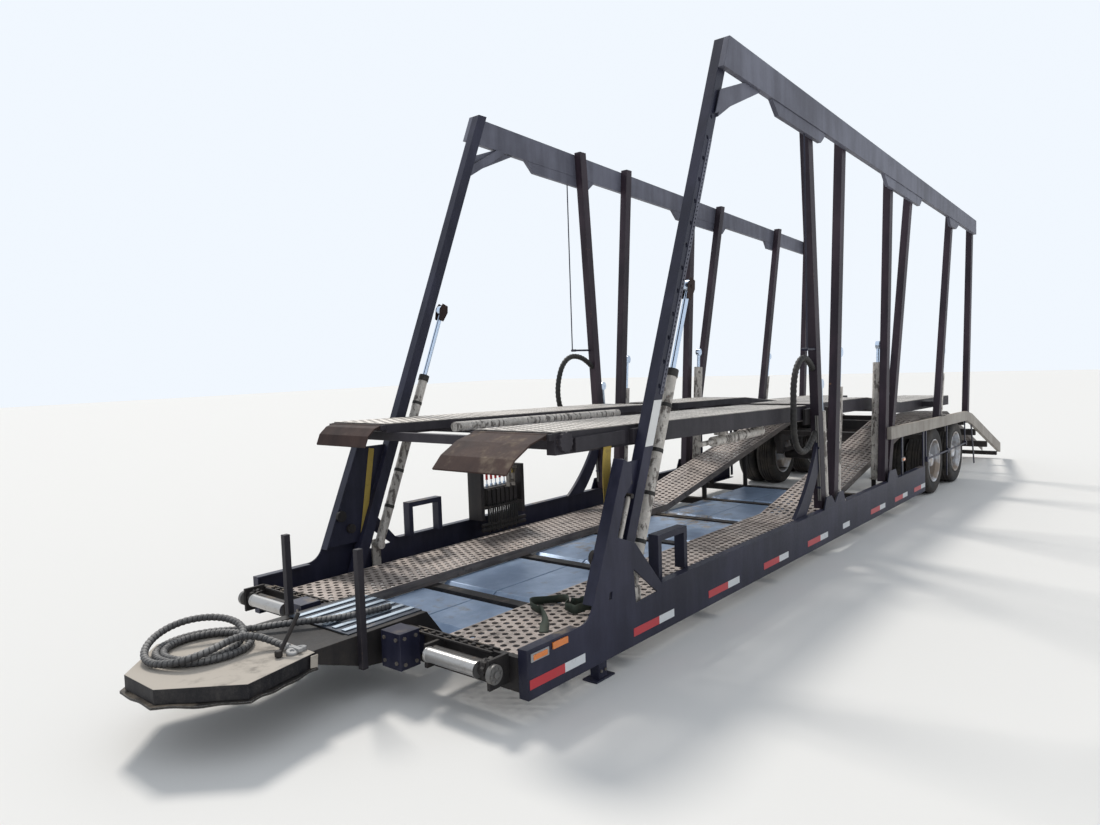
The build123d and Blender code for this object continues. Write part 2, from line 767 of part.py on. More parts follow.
def u_bracket():
    """Box frame on the sill behind the raked post, left side."""
    low = SILL_TOP + SEAT
    y0, y1 = HALF_WIDTH - 130, HALF_WIDTH - 55
    frame = block(FIN_END + 60, FIN_END + 420, y0, y1, low, 705)
    return frame - block(FIN_END + 100, FIN_END + 380, y0 - 5, y1 + 5, low - 1, 665)


def deck_beam(line, s0, s1, y0, tall):
    """Beam along an upper deck, its top on the deck's line."""
    return band(line, 0, tall, s0, s1, y0, y0 + DECK_BEAM_WIDE)


def upper_deck(line, left_front, right_front, rear, half, crossings, bores):
    """Frame of an upper deck: two deep outer beams, two shallow inner ones and cross bars."""
    outer = half - DECK_BEAM_WIDE
    inner = outer - DECK_RUNWAY_WIDE
    solids = []
    for front, turn in ((left_front, False), (right_front, True)):
        deep = deck_beam(line, front, rear, outer, DECK_BEAM_TALL)
        for station, radius in bores:
            z = along(line, station) - DECK_PIN_DROP
            deep = deep - cross_tube(station, outer - 1, half + 1, z, radius)
        shallow = deck_beam(line, front, rear, inner, DECK_INNER_BEAM_TALL)
        solids += [mirrored(deep), mirrored(shallow)] if turn else [deep, shallow]
    low = DECK_INNER_BEAM_TALL + SEAT
    for s in crossings:
        solids.append(
            band(line, low, low + DECK_CROSS_SIDE, s - 35, s + 35, -outer + SEAT, outer - SEAT)
        )
    return solids


def deck_track(line, front, rear, half):
    """Perforated track on an upper deck, left side."""
    y0 = half - DECK_BEAM_WIDE - DECK_RUNWAY_WIDE + 4
    return band(line, -SEAT - DECK_PLATE, -SEAT, front, rear, y0, half - 4)


def hanger(name, line, station):
    """Cross shaft with a slide block beside each post, on which a deck tilts."""
    z = along(line, station) - DECK_PIN_DROP
    face = POST_OUTER_Y - POST_WIDE - SLIDE_GAP
    at_post = on_post(name, z)
    low, high = min(station, at_post) - 60, max(station, at_post) + 60
    slide = block(low, high, face - 26, face, z - 70, z + 70)
    return fused([cross_tube(station, -face, face, z, PIN_R)] + both_sides([slide]))


def runners(line, station, half, tall):
    """Blocks on a deck's outer beams that run beside the posts, left side."""
    face = POST_OUTER_Y - POST_WIDE - SLIDE_GAP
    z = along(line, station) - 20
    return block(station - 60, station + 60, half + SEAT, face, z - tall, z)


def chute_line(front, lengths):
    """Side-view points of a chute from its hinge forwards and down."""
    points = [(front, 0.0)]
    for run, fall in lengths:
        points.append((points[-1][0] - run, points[-1][1] - fall))
    return points


# Chutes at the front of the upper deck: front of the deck, then runs and falls of the plate
CHUTES = {
    "left": (1830, [(150, 40), (130, 70), (70, 70)]),
    "right": (1990, [(60, 18), (60, 50), (30, 70)]),
}


def chute(side):
    """Curved chute that hangs from a hinge tube at the front of an upper runway."""
    front, lengths = CHUTES[side]
    hinge_s = front - CHUTE_BARREL_R - 6
    hinge_z = along(FRONT_DECK_LINE, front) - CHUTE_BARREL_R
    y1 = FRONT_DECK_HALF - 24
    y0 = y1 - DECK_RUNWAY_WIDE - 10
    line = [(s, hinge_z + CHUTE_BARREL_R + z - 4) for s, z in chute_line(hinge_s, lengths)]
    under = [(s + 4, z - 8) for s, z in reversed(line)]
    plate = side_plate(line + under, y0, y1)
    barrel = cross_tube(hinge_s, y0, y1, hinge_z, CHUTE_BARREL_R)
    pin_hole = cross_tube(hinge_s, y0 - 1, y1 + 1, hinge_z, CHUTE_PIN_R + PIN_FIT)
    whole = fused([plate, barrel]) - pin_hole
    return whole if side == "left" else mirrored(whole)


def chute_hinges():
    """Hinge pins and ears of both chutes, on the front ends of the deck's beams."""
    solids = []
    for side, (front, _lengths) in CHUTES.items():
        s = front - CHUTE_BARREL_R - 6
        z = along(FRONT_DECK_LINE, front) - CHUTE_BARREL_R
        y1 = FRONT_DECK_HALF - 24
        y0 = y1 - DECK_RUNWAY_WIDE - 10
        ears = [
            block(s - 16, front - SEAT, y1 + 2, y1 + 22, z - 20, z + 16),
            block(s - 16, front - SEAT, y0 - 22, y0 - 2, z - 20, z + 16),
        ]
        whole = fused([cross_tube(s, y0 - 22, y1 + 22, z, CHUTE_PIN_R)] + ears)
        solids.append(whole if side == "left" else mirrored(whole))
    return solids


def deck_winch():
    """Ratchet hub and a long box on the outer face of the left front-deck beam."""
    y0 = FRONT_DECK_HALF + SEAT
    z = along(FRONT_DECK_LINE, 2000)
    return [ratchet(1905, y0, y0 + 26, z - 52), block(1985, 2480, y0, y0 + 26, z - 116, z - 36)]


def deck_ram():
    """Cylinder that lies between the runways of the front deck."""
    radius = 34
    drop = DECK_INNER_BEAM_TALL
    ends = []
    for s in (2300, 4300):
        z = along(FRONT_DECK_LINE, s) - drop + radius
        ends.append((x_at(s), -160, z))
    upper = rod(ends[0], ends[1], radius)
    hung = []
    for s, z in ((3850, 1180), (4700, 1190)):
        hung.append((x_at(s), FRONT_DECK_HALF - 115, z))
    lower = rod(hung[0], hung[1], BARREL_R)
    stem = rod((hung[0][0] + 190, hung[0][1], hung[0][2] - 2), hung[0], ROD_R)
    clamps = []
    for s in (3960, 4600):
        z = along(FRONT_DECK_LINE, s)
        clamps.append(
            block(s, s + 40, FRONT_DECK_HALF - 160, FRONT_DECK_HALF - DECK_BEAM_WIDE - SEAT, z - 165, z - 75)
        )
    return [upper, fused([lower, stem] + clamps)]


# Lift cylinders: foot height, height of the barrel's mouth, height of the rod's head, radius of the barrel
CYLINDERS = {
    "F": (410, 1730, 2300, BARREL_R),
    "P1": (500, 1300, 1546, BARREL_R),
    "P2": (500, 1500, 1827, BARREL_R),
    "P3": (470, 1700, 1890, 52),
    "P5": (1060, 1500, 1800, BARREL_R),
}
P3_CYLINDER_Y = POST_OUTER_Y - 140


def axis_at(kind, z):
    """Point of a lift cylinder's axis at a height, left side."""
    if kind == "F":
        return (x_at(post_front(z) + POST_DEEP + 120), CYLINDER_Y, z)
    radius = CYLINDERS[kind][3]
    if kind == "P3":
        return (x_at(on_post(kind, z, 100)), P3_CYLINDER_Y, z)
    return (x_at(on_post(kind, z, POST_DEEP / 2 + radius + CYLINDER_OFF)), CYLINDER_Y, z)


def cylinder_barrels():
    """Barrels with their feet, left side."""
    solids = []
    for kind, (low, mouth, _head, radius) in CYLINDERS.items():
        foot = axis_at(kind, low)
        x, y, z = foot
        bore = rod(axis_at(kind, low + 90), axis_at(kind, mouth + 5), ROD_R + ROD_FIT)
        barrel = rod(foot, axis_at(kind, mouth), radius)
        eye = rod((x, y - 36, z), (x, y + 36, z), radius - 4)
        s = OVERALL_LENGTH / 2 - x
        if kind == "F":
            lug = block(s - 40, s + 40, y + 34, y + 50, RUNWAY_TOP - RUNWAY_EDGE, z + 40)
        elif kind == "P5":
            top = along(BEAM_LINE, s - 45) + SEAT
            lug = block(s - 45, s + 45, y - 36, HALF_WIDTH - 10, top, top + 16)
            lug = fused([lug, block(s - 20, s + 20, y - 30, y + 30, top, z)])
        else:
            top = SILL_TOP + SEAT
            reach = POST_OUTER_Y - POST_WIDE - SEAT if kind == "P3" else HALF_WIDTH - 12
            lug = block(s - 50, s + 50, y - radius, reach, top, top + 16)
            lug = fused([lug, block(s - 20, s + 20, y - 30, y + 30, top, z)])
        solids.append(fused([barrel, eye, lug]) - bore)
    return solids


def cylinder_rods(kind):
    """Rods of one pair of cylinders, each with the chain wheel at its head."""
    low, _mouth, head, _radius = CYLINDERS[kind]
    x, y, z = axis_at(kind, head)
    stem = rod(axis_at(kind, low + 100), (x, y, z), ROD_R)
    wheel = rod((x, y - 20, z), (x, y + 20, z), HEAD_R)
    return both_sides([fused([stem, wheel])])


VALVE_FRONT = 3460
VALVE_REAR = 4040


def valve_bank():
    """Hydraulic valve bank on the right sill, in a stand of two uprights and a shelf."""
    y0, y1 = 5 - POST_OUTER_Y, 140 - POST_OUTER_Y
    low = SILL_TOP + SEAT
    return [
        fused(
            [
                block(VALVE_FRONT, VALVE_FRONT + 40, y0, y1 + 30, low, 880),
                block(VALVE_REAR - 40, VALVE_REAR, y0, y1 + 30, low, 880),
                block(VALVE_FRONT + 40, VALVE_REAR - 40, y0, y1 + 30, 520, 540),
                block(VALVE_FRONT + 100, VALVE_REAR - 80, y0 + 15, y1, 540, 700),
            ]
        )
    ]


def valve_levers():
    """Row of small levers on the valve bank."""
    y = 72 - POST_OUTER_Y
    stations = range(VALVE_FRONT + 120, VALVE_REAR - 90, 58)
    return [rod((x_at(s), y, 700 + SEAT), (x_at(s), y, 850), 8) for s in stations]


def tail_lamps():
    """Lamps on the rearmost cross bar."""
    s0 = OVERALL_LENGTH - min(TAIL_BARS) + REAR_BAR_WIDE + SEAT
    solids = []
    for y in (620, 800, 980):
        solids.append(block(s0, s0 + 16, y, y + 110, 66, 116))
    return both_sides(solids)


def hose_path():
    """Hose from the neck over the nose into the coil: X, Y and Z of its corners."""
    z = NOSE_TOP + NOSE_HOSE_R + SEAT
    high = NECK_TOP + 14 + SEAT + NOSE_HOSE_R + 4
    return [
        (x_at(1420), 150, high),
        (x_at(1260), 130, high),
        (x_at(1100), 70, high),
        (x_at(960), -30, high),
        (x_at(850), -110, high),
        (x_at(735), -150, z + 18),
        (x_at(660), -140, z + 10),
    ]


def round_corners(points):
    """Radii for the corners of a hose's path."""
    radii = []
    for a, b, c in zip(points, points[1:], points[2:]):
        before = Vector(*b) - Vector(*a)
        after = Vector(*c) - Vector(*b)
        turn = math.radians(before.get_angle(after))
        radii.append(0.45 * min(before.length, after.length) / math.tan(turn / 2))
    return radii


def tube_along(points, radius, name):
    """Tube along straight runs with tangent arcs."""
    radii = round_corners(points)
    print(name, "radii", [round(r) for r in radii])
    path = FilletPolyline(*points, radius=radii)
    start = Vector(*points[1]) - Vector(*points[0])
    circle = Plane(origin=points[0], z_dir=start) * Circle(radius)
    return sweep(circle, path=path)


# Hose loops in front of P1: heights at the post's face, and stations and heights between
HOSE_LOOPS = {
    "left": (1690, 1120, [
        (5262, 1772), (5130, 1796), (5004, 1722), (4938, 1590), (4925, 1430), (4925.5, 1270),
        (4932, 1118), (5005, 1004), (5140, 962), (5300, 1030),
    ]),
    "right": (1760, 1180, [
        (5262, 1830), (5110, 1880), (4960, 1876), (4840, 1790), (4772, 1640), (4752, 1490),
        (4790, 1340), (4880, 1220), (5010, 1150), (5150, 1110), (5290, 1120),
    ]),
}


def post_hose(side):
    """Corners of the hose loop in front of P1 on one side."""
    face = -POST_DEEP / 2 - SEAT
    high, low, between = HOSE_LOOPS[side]
    route = [(on_post("P1", high, face), high)] + between + [(on_post("P1", low, face), low)]
    y = LOOP_HOSE_Y if side == "left" else -LOOP_HOSE_Y
    return [(x_at(s), y, z) for s, z in route]


def post_stay(side):
    """Thin stay from the gusset down to an arm on the front of P1."""
    s = 5095
    y = POST_OUTER_Y + 20
    low = STAY_Z[side]
    top = rail_bottom(s) - RAIL_GUSSET_DROP - SEAT
    arm_end = on_post("P1", low, -POST_DEEP / 2 - SEAT - 0.07 * STAY_ARM_R)
    stay = rod((x_at(s), y, low), (x_at(s), y, top), STAY_R)
    arm = rod((x_at(s), y - 34, low), (x_at(arm_end), y - 34, low), STAY_ARM_R)
    cross = rod((x_at(s), y - 46, low), (x_at(s), y + 9, low), STAY_ARM_R + 3)
    whole = fused([stay, arm, cross])
    return whole if side == "left" else mirrored(whole)


COIL_STATION = 430
COIL_Y = -140
COIL_R = 235


def hose_coil():
    """Coil of hose on the nose, as one closed ring."""
    height = 4 * NOSE_HOSE_R
    z = NOSE_TOP + SEAT
    outer = Cylinder(COIL_R + 2 * NOSE_HOSE_R, height, align=(Align.CENTER, Align.CENTER, Align.MIN))
    hole = Cylinder(COIL_R - 2 * NOSE_HOSE_R, height, align=(Align.CENTER, Align.CENTER, Align.MIN))
    return [Pos(x_at(COIL_STATION), COIL_Y, z) * (outer - hole)]


def main():
    os.makedirs("parts", exist_ok=True)
    sill = left_sill()
    save("left_sill", [sill])
    save("right_sill", [mirrored(sill)])
    save("front_runways", both_sides(runway()))
    save("rear_runways", both_sides([rear_runway()]))
    save("rear_posts", both_sides(rear_posts()))
    save("post_foot_plates", both_sides(foot_plates() + [post_brace()]))
    save("raked_front_posts", both_sides([raked_post()]))
    save("top_rails", both_sides([top_rail()]))
    save("rail_gussets", both_sides(rail_gussets()))
    save("side_beams", both_sides([side_beam()]))
    save("wheel_guards", both_sides(wheel_struts() + [wheel_guard()]))
    for place in AXLE_STATIONS:
        wheel_nodes(place, "left", False)
        wheel_nodes(place, "right", True)
    save("cross_members", cross_members())
    save("rear_frame", rear_cross_bars() + both_sides(frame_rails()))
    save("belly_sheets", belly_sheets())
    save("axle_tubes", axles())
    save("suspension", both_sides(suspension()))
    save("nose_head", [nose()])
    save("kingpin", [kingpin()])
    save("neck_frame", [neck()])
    save("ribbed_plate", [ribbed_plate()])
    save("nose_stakes", stakes())
    save("front_rollers", both_sides(front_rollers()))
    save("neck_brackets", both_sides(bracket_boxes()))
    save("landing_feet", both_sides([landing_foot()]))
    save("u_brackets", both_sides([u_bracket()]))
    save("valve_bank", valve_bank())
    save("valve_levers", valve_levers())
    save("tail_lamps", tail_lamps())
    save("hose_coil", hose_coil())
    save("hose_run", [tube_along(hose_path(), NOSE_HOSE_R, "hose_run")])
    for side in HOSE_LOOPS:
        save(f"{side}_post_hose", [tube_along(post_hose(side), LOOP_HOSE_R, f"{side}_post_hose")])
    save("post_stays", [post_stay("left"), post_stay("right")])

    left_front, right_front = CHUTES["left"][0], CHUTES["right"][0]
    save("front_hanger", [hanger("P1", FRONT_DECK_LINE, FRONT_DECK_PIN)])
    frame = upper_deck(
        FRONT_DECK_LINE, left_front, right_front, FRONT_DECK_REAR, FRONT_DECK_HALF,
        FRONT_DECK_BARS, [(FRONT_DECK_PIN, PIN_R + PIN_FIT)],
    )
    runner_s = post_front(1300) + POST_DEEP / 2
    frame += both_sides([runners(FRONT_DECK_LINE, runner_s, FRONT_DECK_HALF, 90)])
    frame += chute_hinges() + deck_winch()
    save("front_deck", frame)
    tracks = [deck_track(FRONT_DECK_LINE, left_front, FRONT_DECK_REAR, FRONT_DECK_HALF)]
    tracks.append(mirrored(deck_track(FRONT_DECK_LINE, right_front, FRONT_DECK_REAR, FRONT_DECK_HALF)))
    save("front_deck_tracks", tracks)
    save("front_deck_ram", deck_ram())
    save("left_chute", [chute("left")])
    save("right_chute", [chute("right")])

    save("rear_hanger", [hanger("P2", REAR_DECK_LINE, REAR_DECK_PIN)])
    frame = upper_deck(
        REAR_DECK_LINE, REAR_DECK_FRONT, REAR_DECK_FRONT, REAR_DECK_REAR, REAR_DECK_HALF,
        REAR_DECK_BARS, [(REAR_DECK_PIN, PIN_R + PIN_FIT)],
    )
    runner_s = on_post("P5", 1150)
    frame += both_sides([runners(REAR_DECK_LINE, runner_s, REAR_DECK_HALF, 70)])
    save("rear_deck", frame)
    save("rear_deck_tracks", both_sides([deck_track(REAR_DECK_LINE, REAR_DECK_FRONT, REAR_DECK_REAR, REAR_DECK_HALF)]))

    save("cylinder_barrels", both_sides(cylinder_barrels()))
    for kind, node in (
        ("F", "raked_post_rods"),
        ("P1", "front_lift_rods"),
        ("P2", "rear_lift_rods"),
        ("P3", "middle_lift_rods"),
        ("P5", "rear_tilt_rods"),
    ):
        save(node, cylinder_rods(kind))


main()
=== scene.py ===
# %% [markdown]
# # A car transporter semi-trailer
# The packed model gives every rigid piece its place. This script adds the finishes and the small
# work that a maker leaves for last: punched tracks, tyres with their tread, hoses, tapes and ties.
# Everything is in metres: +X runs forward to the nose, +Y to the trailer's left, +Z up.

# %% Load the packed model
import json
import math

import bpy
import numpy as np
from mathutils import Matrix, Vector


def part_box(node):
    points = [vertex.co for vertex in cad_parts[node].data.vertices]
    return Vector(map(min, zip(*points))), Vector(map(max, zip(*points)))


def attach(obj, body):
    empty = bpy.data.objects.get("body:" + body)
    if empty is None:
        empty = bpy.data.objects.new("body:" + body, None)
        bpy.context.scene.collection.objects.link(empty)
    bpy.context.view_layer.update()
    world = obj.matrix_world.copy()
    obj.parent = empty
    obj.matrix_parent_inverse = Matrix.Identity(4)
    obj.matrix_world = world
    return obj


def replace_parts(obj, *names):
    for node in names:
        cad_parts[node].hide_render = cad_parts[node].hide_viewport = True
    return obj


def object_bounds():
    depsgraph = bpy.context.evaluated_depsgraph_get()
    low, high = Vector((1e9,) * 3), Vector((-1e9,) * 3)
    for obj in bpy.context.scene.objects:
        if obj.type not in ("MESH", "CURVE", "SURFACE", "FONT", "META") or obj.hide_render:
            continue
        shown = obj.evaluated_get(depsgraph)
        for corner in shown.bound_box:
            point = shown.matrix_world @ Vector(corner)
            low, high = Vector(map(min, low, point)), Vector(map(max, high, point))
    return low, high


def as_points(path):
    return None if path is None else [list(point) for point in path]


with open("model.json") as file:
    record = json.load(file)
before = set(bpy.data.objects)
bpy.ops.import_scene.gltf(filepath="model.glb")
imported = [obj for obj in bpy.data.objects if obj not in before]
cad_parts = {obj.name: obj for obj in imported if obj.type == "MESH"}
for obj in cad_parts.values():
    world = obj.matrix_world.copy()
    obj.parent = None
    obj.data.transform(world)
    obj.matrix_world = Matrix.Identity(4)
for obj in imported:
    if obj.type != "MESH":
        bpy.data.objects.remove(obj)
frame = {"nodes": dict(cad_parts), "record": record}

CAD_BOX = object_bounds()
NODES = frame["nodes"]

# %% [markdown]
# ## The camera
# The photograph was taken with a phone held at about eye height, close to the trailer's front left
# corner. A camera could be moved by eye until the render looks right, but an error in distance then
# hides behind an error in lens. Its place and turn were solved instead from long straight edges
# whose real sizes are known, and the camera is set from those numbers.

# %% Camera
FOCAL_PIXELS = 793.8
PHOTO_WIDTH = 1100
SENSOR_WIDTH = 36
CAMERA_PLACE = (8.1055, 3.913, 1.823)
YAW, PITCH, ROLL = (math.radians(a) for a in (39.757, 3.605, -1.966))


def camera_matrix(place, yaw, pitch, roll):
    """Matrix whose -Z looks along yaw and down by pitch, turned by roll about that line."""
    level = -math.cos(pitch)
    ahead = Vector((level * math.cos(yaw), level * math.sin(yaw), -math.sin(pitch)))
    right = ahead.cross(Vector((0, 0, 1))).normalized()
    up = right.cross(ahead)
    side = math.cos(roll) * right + math.sin(roll) * up
    top = math.cos(roll) * up - math.sin(roll) * right
    turn = Matrix((side, top, -ahead)).transposed().to_4x4()
    return Matrix.Translation(place) @ turn


camera_data = bpy.data.cameras.new("photo_camera")
camera_data.sensor_width = SENSOR_WIDTH
camera_data.lens = FOCAL_PIXELS / PHOTO_WIDTH * SENSOR_WIDTH
camera_data.clip_end = 200
camera = bpy.data.objects.new("photo_camera", camera_data)
bpy.context.scene.collection.objects.link(camera)
camera.matrix_world = camera_matrix(CAMERA_PLACE, YAW, PITCH, ROLL)
bpy.context.scene.camera = camera
print("lens:", round(camera_data.lens, 2), "mm")

# %% [markdown]
# ## Light and floor
# A pale floor and a soft, even sky show the shapes and let each colour come out as it is written. A
# studio with several lamps would do it too, but a sky has no edge that a chrome rod could mirror.
# The sky lights the pieces a little less brightly than it looks, so that its blue doesn't flood the
# dark paint, and one soft sun from behind on the right gives the lattice its shadows.

# %% Floor
FLOOR_REACH = 60
FLOOR_COLOUR = (0.80, 0.79, 0.77, 1)
floor_corners = [(x * FLOOR_REACH, y * FLOOR_REACH, 0) for x, y in ((-1, -1), (1, -1), (1, 1), (-1, 1))]
floor_mesh = bpy.data.meshes.new("floor")
floor_mesh.from_pydata(floor_corners, [], [(0, 1, 2, 3)])
floor = bpy.data.objects.new("floor", floor_mesh)
bpy.context.scene.collection.objects.link(floor)
floor_paint = bpy.data.materials.new("floor")
floor_paint.use_nodes = True
floor_shader = floor_paint.node_tree.nodes["Principled BSDF"]
floor_shader.inputs["Base Color"].default_value = FLOOR_COLOUR
floor_shader.inputs["Roughness"].default_value = 0.9
floor_mesh.materials.append(floor_paint)
print("floor:", 2 * FLOOR_REACH, "m square")

# %% Sky
SKY_COLOUR = (0.88, 0.935, 1.0, 1)
SKY_ON_PIECES = 0.68
world = bpy.data.worlds.new("sky")
bpy.context.scene.world = world
world.use_nodes = True
sky_tree = world.node_tree
sky = sky_tree.nodes["Background"]
sky.inputs["Color"].default_value = SKY_COLOUR
ray = sky_tree.nodes.new("ShaderNodeLightPath")
seen = ray.outputs["Is Camera Ray"]
for kind in ("Is Glossy Ray", "Is Transmission Ray"):
    either = sky_tree.nodes.new("ShaderNodeMath")
    either.operation = "MAXIMUM"
    sky_tree.links.new(seen, either.inputs[0])
    sky_tree.links.new(ray.outputs[kind], either.inputs[1])
    seen = either.outputs[0]
strength = sky_tree.nodes.new("ShaderNodeMath")
strength.operation = "MULTIPLY_ADD"
strength.inputs[1].default_value = 1 - SKY_ON_PIECES
strength.inputs[2].default_value = SKY_ON_PIECES
sky_tree.links.new(seen, strength.inputs[0])
sky_tree.links.new(strength.outputs[0], sky.inputs["Strength"])
print("sky on the pieces:", SKY_ON_PIECES)

# %% Sun
sun_data = bpy.data.lights.new("sun", "SUN")
sun_data.energy = 2.0
sun_data.angle = math.radians(12)
sun_data.color = (1.0, 0.955, 0.89)
sun = bpy.data.objects.new("sun", sun_data)
bpy.context.scene.collection.objects.link(sun)
sun.rotation_euler = (math.radians(40), 0, math.radians(-25))
print("sun:", sun_data.energy, "W/m2")

# %% [markdown]
# ## Shader arithmetic
# A finish is easier to read as a sum of masks than as a picture of nodes. One small class wraps an
# output socket, so that `1 - dust` or `rust * 0.4` adds the Math nodes it needs, and a second class
# holds the material being built and makes every other kind of node.

# %% A socket that takes part in arithmetic
class Flow:
    """One output socket of a node tree; Python's operators on it add Math nodes."""

    def __init__(self, tree, socket):
        self.tree = tree
        self.socket = socket

    def _math(self, operation, *values):
        node = self.tree.nodes.new("ShaderNodeMath")
        node.operation = operation
        for entry, value in zip(node.inputs, values):
            if isinstance(value, Flow):
                self.tree.links.new(value.socket, entry)
            else:
                entry.default_value = value
        return Flow(self.tree, node.outputs[0])

    def __add__(self, other):
        return self._math("ADD", self, other)

    def __sub__(self, other):
        return self._math("SUBTRACT", self, other)

    def __rsub__(self, other):
        return self._math("SUBTRACT", other, self)

    def __mul__(self, other):
        return self._math("MULTIPLY", self, other)

    def least(self, other):
        return self._math("MINIMUM", self, other)

    def most(self, other):
        return self._math("MAXIMUM", self, other)

    __radd__ = __add__
    __rmul__ = __mul__


print("a Flow knows:", [n.strip("_") for n in vars(Flow) if callable(getattr(Flow, n))])

# %% A finish under construction
class Finish:
    """A material with its one Principled shader, and the nodes that feed it."""

    def __init__(self, name, **constants):
        self.material = bpy.data.materials.new(name)
        self.material.use_nodes = True
        self.tree = self.material.node_tree
        self.shader = self.tree.nodes["Principled BSDF"]
        for entry, value in constants.items():
            self.shader.inputs[entry.replace("_", " ")].default_value = value
        self.place = self.node("ShaderNodeTexCoord", {}, {}, "Object")
        normal = self.node("ShaderNodeTexCoord", {}, {}, "Normal")
        self.up = self.node("ShaderNodeSeparateXYZ", {}, {0: normal}, 2)
        self.round = None

    def node(self, kind, settings, inputs, output=0):
        """A node of any kind: its settings first, then the values or links of its sockets."""
        node = self.tree.nodes.new(kind)
        for name, value in settings.items():
            setattr(node, name, value)
        for entry, value in inputs.items():
            if isinstance(value, Flow):
                self.tree.links.new(value.socket, node.inputs[entry])
            else:
                node.inputs[entry].default_value = value
        return Flow(self.tree, node.outputs[output])

    def stretched(self, x, y, z):
        """The piece's own coordinates, multiplied along each axis."""
        return self.node("ShaderNodeVectorMath", {"operation": "MULTIPLY"}, {0: self.place, 1: (x, y, z)})

    def noise(self, scale, detail=3.0, where=None):
        """Soft noise from 0 to 1 with features about 1/scale metres wide."""
        where = self.place if where is None else where
        inputs = {"Vector": where, "Scale": scale, "Detail": detail, "Roughness": 0.6}
        return self.node("ShaderNodeTexNoise", {}, inputs)

    def soft(self, value, low, high):
        """0 below low, 1 above high, and a smooth step between them."""
        inputs = {"Value": value, "From Min": low, "From Max": high}
        return self.node("ShaderNodeMapRange", {"interpolation_type": "SMOOTHSTEP"}, inputs)

    def tint(self, mask, under, over):
        """Colour that is under where the mask is 0 and over where it is 1."""
        under = under if isinstance(under, Flow) else (*under, 1)
        over = over if isinstance(over, Flow) else (*over, 1)
        return self.node("ShaderNodeMix", {"data_type": "RGBA"}, {0: mask, 6: under, 7: over}, 2)

    def edge(self, radius):
        """1 on corners and 0 on faces: 1 minus the cosine between the true normal and a rounded one."""
        self.round = self.node("ShaderNodeBevel", {"samples": 4}, {"Radius": radius})
        true = self.node("ShaderNodeNewGeometry", {}, {}, "Normal")
        inputs = {0: self.round, 1: true}
        flat = self.node("ShaderNodeVectorMath", {"operation": "DOT_PRODUCT"}, inputs, "Value")
        return self.soft(1 - flat, 0.02, 0.16)

    def done(self, color, roughness, height=None, strength=0.3, distance=0.002):
        """Link the varying values to the shader and return the material."""
        self.tree.links.new(color.socket, self.shader.inputs["Base Color"])
        self.tree.links.new(roughness.socket, self.shader.inputs["Roughness"])
        if height is not None:
            inputs = {"Strength": strength, "Distance": distance, "Height": height}
            if self.round is not None:
                inputs["Normal"] = self.round
            bump = self.node("ShaderNodeBump", {}, inputs)
            self.tree.links.new(bump.socket, self.shader.inputs["Normal"])
        return self.material


print("a Finish knows:", [n for n in vars(Finish) if "__" not in n])

# %% [markdown]
# ## Worn steel
# Nearly everything here is painted steel that has stood in sun and dust for years. The real coat is
# a satin paint with dust lying on the faces that look up, rust where the coat has broken, and bare
# or paler metal along the corners. Painted masks could show the same, but they would fit one mesh
# only. So one recipe with a few numbers covers all of it: broad clouds of fading, dust held by the
# upward part of the normal, streaks that run down, and worn corners found by comparing the true
# normal with a rounded one.

# %% The recipe for worn steel
SAND = (0.29, 0.235, 0.18)
RUST = (0.21, 0.085, 0.04)
RUST_PALE = (0.34, 0.17, 0.09)
WORN_RADIUS = 0.006


def worn_steel(
    name, paint, faded, dust, rust, rough,
    worn=(0.22, 0.21, 0.21), wear=0.5, haze=0.3, powder_color=SAND, **constants,
):
    """Painted steel: colours of fresh and faded paint, amounts of dust and rust from 0 to 1."""
    f = Finish(name, **constants)
    clouds = f.noise(1.3, 4)
    spots = f.noise(9, 6)
    fine = f.noise(55, 5)
    grit = f.noise(330, 2)
    runs = f.noise(1, 5, f.stretched(9, 9, 1.3))
    corner = f.edge(WORN_RADIUS)
    color = f.tint(f.soft(clouds * 0.6 + runs * 0.4, 0.36, 0.66), paint, faded)
    color = f.tint(f.soft(grit, 0.55, 0.75) * 0.2, color, worn)
    top = f.soft(f.up, 0.35, 0.95)
    settled = f.soft(clouds * 0.5 + spots * 0.5, 0.62 - 0.5 * dust, 0.75 - 0.3 * dust)
    powder = (top * settled).least(0.95)
    film = f.soft(runs * 0.6 + fine * 0.4, 0.40, 0.85) * (haze * dust)
    color = f.tint(powder.most(film), color, powder_color)
    weak = spots * 0.62 + fine * 0.38 + corner * 0.10
    broken = f.soft(weak, 0.74 - 0.22 * rust, 0.80 - 0.20 * rust)
    oxide = f.tint(f.soft(fine, 0.35, 0.65), RUST, RUST_PALE)
    color = f.tint(broken * min(1.0, 0.35 + rust), color, oxide)
    bare = corner * f.soft(fine * 0.5 + spots * 0.5, 0.40, 0.60) * wear
    color = f.tint(bare, color, worn)
    roughness = (powder * 0.35 + broken * 0.3 + fine * 0.22 + (rough - 0.11)).least(0.95)
    height = fine * 0.5 + grit * 0.25 + broken * 0.6
    return f.done(color, roughness, height, 0.35, 0.0015)


print("worn corners reach", WORN_RADIUS, "m")

# %% [markdown]
# Ten paints come from that recipe. Copying one material ten times would let them drift apart, but a
# row of numbers for each keeps them one family: posts and decks rust most, the nose holds the most
# dust, and the rails have faded to grey.

